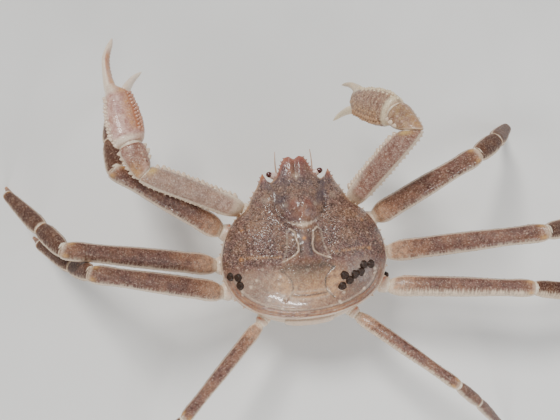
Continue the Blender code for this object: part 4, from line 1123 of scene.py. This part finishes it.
def spine_rows(part, grid, normals, s, degrees, outer_turn, ccw, axis):
    """Rows of spines on a claw plate, each at one turn round the section."""
    tubes = []
    for turn, first, last, count, size in SPINE_ROWS[part]:
        column = np.argmin(apart(degrees[0], outer_turn + ccw * turn))
        rows = [np.argmin(np.abs(s[:, 0] - share)) for share in np.linspace(first, last, count)]
        uneven = size * (0.85 + 0.3 * np.sin(np.arange(count) * 2.3 + turn) ** 2)
        inner = part == PALM and turn > 90
        tubes += spine_tubes(
            grid[rows, column], normals[rows, column] + 0.3 * axis, SPINE_RADIUS * uneven,
            SPINE_HEIGHT * uneven, {"spot": 0.55 * inner, "warm": 0.3,
                                    "pale": 0.3 if inner or size < 0.6 else 0.8}, STOUT)
    return tubes


def claw_grains(s, degrees):
    """Chance of a grain on a claw, lower on the underside, none at a root or on a finger."""
    return (0.6 * ramp(0.06, 0.2, s) * (s < 1)
            * (0.35 + 0.65 * (np.sin(np.radians(degrees)) > -0.3)))


def claw(key, draw):
    """One claw limb: hip, arm, wrist, palm with its fixed finger, and the moving finger."""
    left = key == "l"
    sign, outer_turn = SIDES[key]
    socket, joint = on_side(sign, CLAW_SOCKET, CLAW_SHOULDER)
    pose = CLAW_POSES[key]
    directions = [heading(*angles) for angles in pose]
    cut = halfway(joint - socket, directions[ARM_PART])
    grid, s, _ = plain_plate(socket, joint, CLAW_COXA_GIRTH, 40, 48, cut=cut,
                             shape=lambda s, d: 1 - 0.08 * bell(s - 0.6, 0.04))
    skin(f"claw_{key}_hip_plate", [(grid, {"pale": 0.6, "warm": 0.4 * bell(s - 0.78, 0.1)})],
         BELLY, "belly", f"claw_{key}_coxa")
    sleeves = [(joint, cut, level_side(pose[ARM_PART][0]), 5.6, 5.0, 3.4)]
    for part, name in CLAW_NAMES.items():
        start_cut = cut
        side = level_side(pose[part][0])
        end = joint + directions[part] * CLAW_LENGTHS[part] * MM
        if part == PALM:
            outward = -sign * rolled(side, directions[PALM], -sign * CLAW_ROLL[key])
            finish = PALM_L if left else PALM_R
            grid, normals, s, degrees = palm_grid(joint, directions, outward, start_cut,
                                                  *FINGER_TIP[key])
            outer, way = 0, 1
            above = np.cross(directions[PALM], outward)
            above = above * np.sign(above[2])
            knob = knob_tube(end + KNOB_RISE * above - KNOB_INSET * outward, KNOB_RADIUS)
            extra = [(knob, {"spot": 0 if left else 0.8, "warm": 1.0, "pale": 0.3})]
        else:
            cut = halfway(directions[part], directions[part + 1])
            finish, extra = ARM, []
            grid, normals, s, degrees = plate(
                joint, directions[part], CLAW_LENGTHS[part] * MM, side, CLAW_PROFILES[part],
                start_cut, cut, CLAW_ROWS[part], 72, corner=1.5,
                shape=lambda s, d: 1 + 0.014 * np.sin(s * 9 + np.radians(d) * 3))
            outer, way = outer_turn, -sign
            _, wide, thick = CLAW_PROFILES[part][-1]
            sleeves.append((end, cut, side, wide * 0.94, thick * 0.94, 3.4))
        marks = CLAW_MARKS[part](s, apart(degrees, outer), np.sin(np.radians(degrees)), left)
        grid, marks["grain"] = speckled(grid, normals, s, degrees, draw, CLAW_GRAINS[part],
                                        CLAW_GRAIN_HEIGHT, claw_grains)
        tubes = [(grid, marks)] + spine_rows(part, grid, normals, s, degrees, outer, way,
                                             directions[part]) + extra
        skin(f"claw_{key}_{name}_plate", tubes, finish, "shell_claw", f"claw_{key}_{name}")
        joint = end
    moving_finger(key, joint, directions, outward, finish)
    joint_skin(f"claw_{key}_joint_skin", sleeves)


def palm_grid(joint, directions, outward, start_cut, hook, slim):
    """The palm and its fixed finger as one surface.

    An oval section follows the palm's axis; past the shoulder its inner edge draws in, and the
    section passes on to the bowed line of the finger. Stations are joined by cubic spans. Returns
    the grid, outward normals, the shares of the palm (above one on the finger) and the turns away
    from the outer edge in degrees.
    """
    palm_axis, fixed, _ = directions[PALM:]
    length = CLAW_LENGTHS[PALM] * MM
    knuckle = joint + palm_axis * length
    root = knuckle + outward * FINGER_OFFSET - palm_axis * FINGER_SINK
    tip = knuckle + outward * FINGER_OFFSET + fixed * FIXED_FINGER * MM
    finger_axis = unit(tip - root)
    finger_out = square_to(finger_axis, outward)
    stations = []  # middle, outward side, axis, half width, half thickness, share
    straight = [(share, -wide, wide, thick) for share, wide, thick in
                zip(PALM_STATIONS, *girths(PALM_STATIONS, CLAW_PROFILES[PALM]))]
    for share, inner, outer, thick in (*straight, *PALM_TAPER):
        middle = joint + palm_axis * length * share + outward * (inner + outer) / 2 * MM
        stations.append([*middle, *outward, *palm_axis, (outer - inner) / 2, thick, share])
    for share in FINGER_STATIONS:
        bend = np.sin(np.pi * share ** 1.15) * FINGER_BOW - hook * MM * ramp(0.66, 1.02, share)
        middle = root + (tip - root) * share + finger_out * bend
        wide, thick = girths([share], FINGER_PROFILE)[:, 0] * (1 - slim * ramp(0.35, 0.95, share))
        stations.append([*middle, *finger_out, *finger_axis, wide, thick, 0.93 + share * 0.6])
    table = np.array(stations)
    steps = np.linalg.norm(np.diff(table[:, :3], axis=0), axis=1)
    run = np.concatenate([[0], np.cumsum(steps)])
    at = run[-1] * np.concatenate([np.linspace(0, 0.985, PALM_ROWS),
                                   0.985 + 0.015 * np.linspace(0.2, 1, 5)])
    smooth = eased(at, run, table)
    wide, thick, share = smooth[:, 9:].T[..., None]
    axis = unit(smooth[:, 6:9])
    out = unit(smooth[:, 3:6] - axis * (smooth[:, 3:6] * axis).sum(axis=1)[:, None])
    up = np.cross(axis, out) * np.sign(np.cross(palm_axis, outward)[2])
    turn = turns(PALM_SIDES)
    cosine, sine, degrees = np.cos(turn), np.sin(turn), np.degrees(turn)[None, :]
    square = 1 - (1 - SQUARENESS) * ramp(1.1, 0.9, share)
    teeth = (bell(apart(degrees, 180), 15) * (0.10 + 0.18 * np.abs(np.sin(at[:, None] / MM * 1.1)))
             * window(share, 1.14, 1.22, 1.42, 1.5))
    closing = np.sqrt(np.clip(at / (2.0 * MM), 0.15, 1))[:, None]
    size = (1 - 0.03 * bell(share - 0.135, 0.03)) * closing * MM
    offset = section(wide * (1 + teeth) * size * squared(cosine, square), out[:, None],
                     thick * size * squared(sine, square), up[:, None])
    back = np.clip(1 - share, 0, 1) ** 1.5 * slide(offset, palm_axis, start_cut, GAP / 2)
    grid = smooth[:, None, :3] + offset + back[..., None] * palm_axis
    normals = unit(section(thick * cosine, out[:, None], wide * sine, up[:, None]))
    return grid, normals, share, degrees


def knob_tube(place, radius):
    """A small round knob: rings of a ball from pole to pole."""
    polar = np.linspace(0.06, np.pi - 0.06, 14)[:, None, None]
    x, y, z = np.eye(3)
    return place + (np.cos(polar) * z + np.sin(polar) * circle(turns(20), x, y)) * radius


def moving_finger(key, knuckle, directions, outward, finish):
    """The moving finger: a tapering oval along a bowed line, sunk into the palm's end face.

    Low teeth stand in a row on the side that bites on the fixed finger.
    """
    axis = directions[-1]
    outer = square_to(axis, outward)
    seat = knuckle - outward * MOVING_OFFSET - axis * MOVING_SINK
    share = np.concatenate([np.linspace(0, 0.93, 70),
                            0.93 + 0.07 * np.sin(np.linspace(0, 1, 9)[1:] * np.pi / 2)])
    s, turn = share[:, None], turns(30)
    teeth = (bell(apart(np.degrees(turn), 0), 16) * (0.10 + 0.16 * np.abs(np.sin(s * 34)))
             * window(s, 0.22, 0.4, 0.9, 0.98))
    wide, thick = (girth[:, None] * (1 + teeth) * MM for girth in girths(share, MOVING_PROFILE))
    wide, thick = wide * np.cos(turn), thick * np.sin(turn)
    length = MOVING_FINGER * MM + MOVING_SINK
    middle = seat + axis * s * length + np.sin(np.pi * s ** 1.15) * outer * MOVING_BOW
    grid = middle[:, None] + section(wide, outer, thick, np.cross(axis, outer))
    marks = {"pale": 0.8 + 0.2 * ramp(0.5, 0.9, s), "warm": 0.75 * ramp(0.42, 0.1, s) + 0.1}
    skin(f"claw_{key}_dactyl_plate", [(grid, marks)], finish, "shell_claw", f"claw_{key}_dactyl")


# ---- trunk, tail flap, mouth, eyes and feelers

BODY_OUTLINE = [
    (0, 53.5), (10, 53.5), (19, 52.0), (27, 47.5), (33, 39), (43, 29.5), (50, 19), (54, 8),
    (55, -3), (52.5, -14), (46, -25), (36, -33), (22, -38.6), (0, -41),
]
BODY_LEVELS = (  # height, share of the outline in x, share in y
    (69.7, 1.0, 1.0), (64, 0.985, 0.99), (56, 0.90, 0.96), (48, 0.74, 0.87), (41.5, 0.56, 0.70),
    (38.0, 0.44, 0.56),
)
BREAST_GROOVES = (24, 12, 0, -12, -24)
ABDOMEN_PATH = (  # y, z, half width, half thickness
    (-42.5, 67.5, 17.5, 3.0), (-45.0, 62.0, 18.0, 3.0), (-43.5, 53.0, 17.0, 3.2),
    (-37.5, 44.5, 15.0, 3.6), (-29.0, 38.8, 13.0, 3.6), (-17.0, 36.6, 10.5, 3.0),
    (-4.0, 36.0, 8.0, 2.8), (8.0, 36.0, 5.6, 2.6), (15.0, 36.2, 3.4, 2.4),
)
ABDOMEN_JOINTS = (1.1, 2.1, 3.1, 4.1, 5.3, 6.6)  # in rows of the path
MOUTH_PLACES = ((6.4, 43.5, 44.5), (6.4, 52.2, 62.0))  # root and end, also for the next two
EYE_PLACES = ((8.6, 60.2, 68.2), (18.0, 63.2, 71.2))
FEELER_PLACES, FEELER_BOW = ((9.6, 50.0, 66.8), (13.0, 80.0, 73.5)), (2.0, 0, 0)
CORNEA_RADIUS, CORNEA_SHIFT, CORNEA_STRETCH = 2.25, 0.7, 1.15
MOUTH_PROFILE = ((0, 3.0, 2.4), (0.12, 5.0, 3.4), (0.45, 5.9, 4.0), (0.8, 5.6, 3.8), (1, 3.8, 2.8))
STALK_PROFILE = ((0, 2.4, 2.2), (0.4, 2.6, 2.3), (0.75, 2.7, 2.4), (1, 2.2, 2.0))
FEELER_PROFILE = ((0, 1.5, 1.5), (0.25, 1.4, 1.3), (0.42, 0.9, 0.9), (0.7, 0.55, 0.55),
                  (1, 0.3, 0.3))


def trunk():
    """The body under the back: the outline shrinks downwards; grooves part the breast plates."""
    outline = mirrored(catmull(BODY_OUTLINE, 8))
    levels = np.array(BODY_LEVELS)
    top, bottom = levels[[0, -1], 0]
    z = np.concatenate([[top] * 2, np.linspace(top, bottom, 40), [bottom - 0.1] * 2])
    plan = []
    for i in range(2):
        share = np.interp(-z, -levels[:, 0], levels[:, i + 1])
        share[[0, 1, -2, -1]] *= (0.5, 0.9, 0.85, 0.4)
        plan.append(outline[:, i] * share[:, None])
    x, y = plan
    height = np.broadcast_to(z[:, None], x.shape)
    ledge = bell(height - 63, 4.2) * ramp(42, 32, np.abs(x)) * ramp(-18, -34, y)
    y = y - (5.0 + 2.5 * bell(x, 20)) * ledge
    low = ramp(60, 42, height)
    groove = sum(bell(y - at, 0.8) for at in BREAST_GROOVES) * low
    pull = 1 - 0.02 * groove
    grid = np.stack([x * pull, y * pull, height], -1) * MM
    marks = {"pale": 0.3 + 0.5 * low + 0.3 * ledge, "warm": 0.35 * ramp(50, 66, height),
             "dark": 0.5 * groove}
    skin("trunk_shell", [(grid, marks)], BELLY, "belly", "thorax")


def tail_flap():
    """The tail folded under the body: an oval section on a curved path, grooved at each joint."""
    table = np.array(ABDOMEN_PATH)
    end = len(table) - 1
    at = np.linspace(0, end, 96)
    smooth = eased(at, np.arange(len(table)), table)
    path = np.column_stack([np.zeros(len(at)), smooth[:, :2]])
    out = np.cross(unit(np.gradient(path, axis=0)), (1, 0, 0))
    turn = turns(48)
    groove = sum(bell(at - joint, 0.07) for joint in ABDOMEN_JOINTS)
    close = np.sqrt(np.clip(np.minimum(at, end - at) / 0.25, 0.02, 1))
    wide = smooth[:, 2] * close * (1 - 0.02 * groove)
    thick = smooth[:, 3] * close * (1 - 0.14 * groove)
    grid = (path[:, None] + section(wide[:, None] * np.cos(turn), np.array([1, 0, 0]),
                                    thick[:, None] * np.sin(turn), out[:, None])) * MM
    marks = {"pale": 0.35 + 0.2 * np.cos(turn) ** 4, "dark": 0.6 * groove[:, None], "warm": 0.3}
    skin("tail_flap_shell", [(grid, marks)], BELLY, "belly", "abdomen")


def mouth_plate(key, sign):
    """A flat oval section carried up before the mouth, with a groove across it."""
    foot, head = on_side(sign, *MOUTH_PLACES)
    grid, s, _ = plain_plate(foot, head, MOUTH_PROFILE, 50, 44, side=np.array([1.0, 0, 0]),
                             shape=lambda s, d: 1 - 0.10 * bell(s - 0.58, 0.03))
    marks = {"pale": 0.4, "warm": 0.3 + 0.3 * bell(s - 0.8, 0.15),
             "dark": 0.7 * bell(s - 0.58, 0.03)}
    skin(f"mouth_plate_{key}", [(grid, marks)], BELLY, "belly", f"maxilliped_{key}")


def eye(key, sign):
    """A pale stalk of oval section that leans out, and a dark cornea, a ball drawn out on it."""
    root, end = on_side(sign, *EYE_PLACES)
    axis = unit(end - root)
    over = unit(np.cross((0, 0, 1), axis))
    grid, _, _ = plain_plate(root, end, STALK_PROFILE, 40, 28, side=over, corner=0.5)
    skin(f"eye_{key}_stalk", [(grid, {})], STALK, "eye", f"eye_{key}")
    polar = np.radians(np.linspace(2, 178, 40))[:, None, None]
    ball = (np.cos(polar) * axis * CORNEA_STRETCH
            + np.sin(polar) * circle(turns(44), -over, np.cross(axis, -over)))
    ball = end + (axis * CORNEA_SHIFT + ball * CORNEA_RADIUS) * MM
    skin(f"eye_{key}_cornea", [(ball, {})], CORNEA, "eye")


def feeler(key, sign):
    """A stout jointed base and a thin lash, its section ringed by |sin| of its length."""
    root, end, bow = on_side(sign, *FEELER_PLACES, FEELER_BOW)
    grid, _, _ = plain_plate(
        root, end, FEELER_PROFILE, 150, 18, bow=bow, corner=0.1,
        shape=lambda s, d: (1 - 0.10 * np.abs(np.sin(s * 95)) * ramp(0.3, 0.4, s)
                            - 0.2 * bell(s - 0.27, 0.008) - 0.2 * bell(s - 0.4, 0.008)))
    skin(f"feeler_{key}", [(grid, {})], FEELER, "feeler", f"antenna_{key}")


back_shell()
egg_cases()
trunk()
tail_flap()
for key, (sign, _) in SIDES.items():
    mouth_plate(key, sign)
    eye(key, sign)
    feeler(key, sign)
    claw(key, np.random.default_rng(CLAW_SEED + sign))
for number, key in enumerate(LEG_POSES):
    leg(key, np.random.default_rng(LEG_SEED + number))


# ---- floor, light and camera

FLOOR_REACH = 40.0
SUN = {"energy": 2.5, "angle": 0.32, "color": (1.0, 0.98, 0.95)}
SUN_AIM = (0.35, -0.55, -1.0)
LAMPS = (  # name, place from the body, width, height, power, colour
    ("fill_light", (0.9, -0.3, 0.9), 0.8, 0.8, 4, (0.95, 0.97, 1.0)),
    ("rear_light", (-0.12, -0.8, 0.46), 0.34, 0.03, 2.8, (1.0, 1.0, 1.0)),
)
LAMP_TARGET = BODY + (0, 0, 0.05)
SKY, SKY_STRENGTH = (0.88, 0.90, 0.93, 1), 0.4
CAMERA_PLACE = np.array([-0.05714, -0.08380, 0.62461])
CAMERA_RIGHT = np.array([0.99305, -0.10357, 0.05594])
CAMERA_UP = np.array([0.08909, 0.97190, 0.21788])
LENS, SENSOR = 50, 36


def floor():
    """A wide pale floor with a faint cloudiness."""
    mesh = bpy.data.meshes.new("floor")
    corners = [(-1, -1, 0), (1, -1, 0), (1, 1, 0), (-1, 1, 0)]
    mesh.from_pydata((np.array(corners) * FLOOR_REACH).tolist(), [], [(0, 1, 2, 3)])
    mesh.materials.append(plain_finish("pale_floor", (234, 234, 231), (240, 240, 238), 0.2, 0.8,
                                       bump=0, specular=0.15, detail=3))
    ground = add("floor", mesh)


def light(name, kind, aim, **values):
    """A light turned to shine along the aim."""
    data = bpy.data.lights.new(name, kind)
    for setting, value in values.items():
        setattr(data, setting, value)
    holder = add(name, data)
    holder.rotation_mode = "QUATERNION"
    holder.rotation_quaternion = Vector(aim).to_track_quat("-Z", "Y")
    return holder


def lights():
    """A low sun, two soft lamps turned to the body, and a dim grey sky."""
    light("key_light", "SUN", SUN_AIM, **SUN)
    for name, place, wide, high, power, colour in LAMPS:
        place = BODY + place
        light(name, "AREA", LAMP_TARGET - place, shape="RECTANGLE", size=wide, size_y=high,
              energy=power, color=colour).location = place
    world = bpy.data.worlds.new("studio")
    world.use_nodes = True
    sky = world.node_tree.nodes["Background"].inputs
    sky["Color"].default_value, sky["Strength"].default_value = SKY, SKY_STRENGTH
    bpy.context.scene.world = world


def camera():
    """Looks down from a little behind, turned and rolled as in the photograph."""
    lens = bpy.data.cameras.new("camera")
    lens.lens, lens.sensor_width = LENS, SENSOR
    lens.clip_start, lens.clip_end = 0.01, 100
    holder = add("camera", lens)
    right, back = unit(CAMERA_RIGHT), unit(np.cross(CAMERA_RIGHT, CAMERA_UP))
    turned = np.eye(4)
    turned[:3] = np.column_stack([right, np.cross(back, right), back, CAMERA_PLACE + BODY])
    holder.matrix_world = Matrix(turned.tolist())
    bpy.context.scene.camera = holder


floor()
lights()
camera()
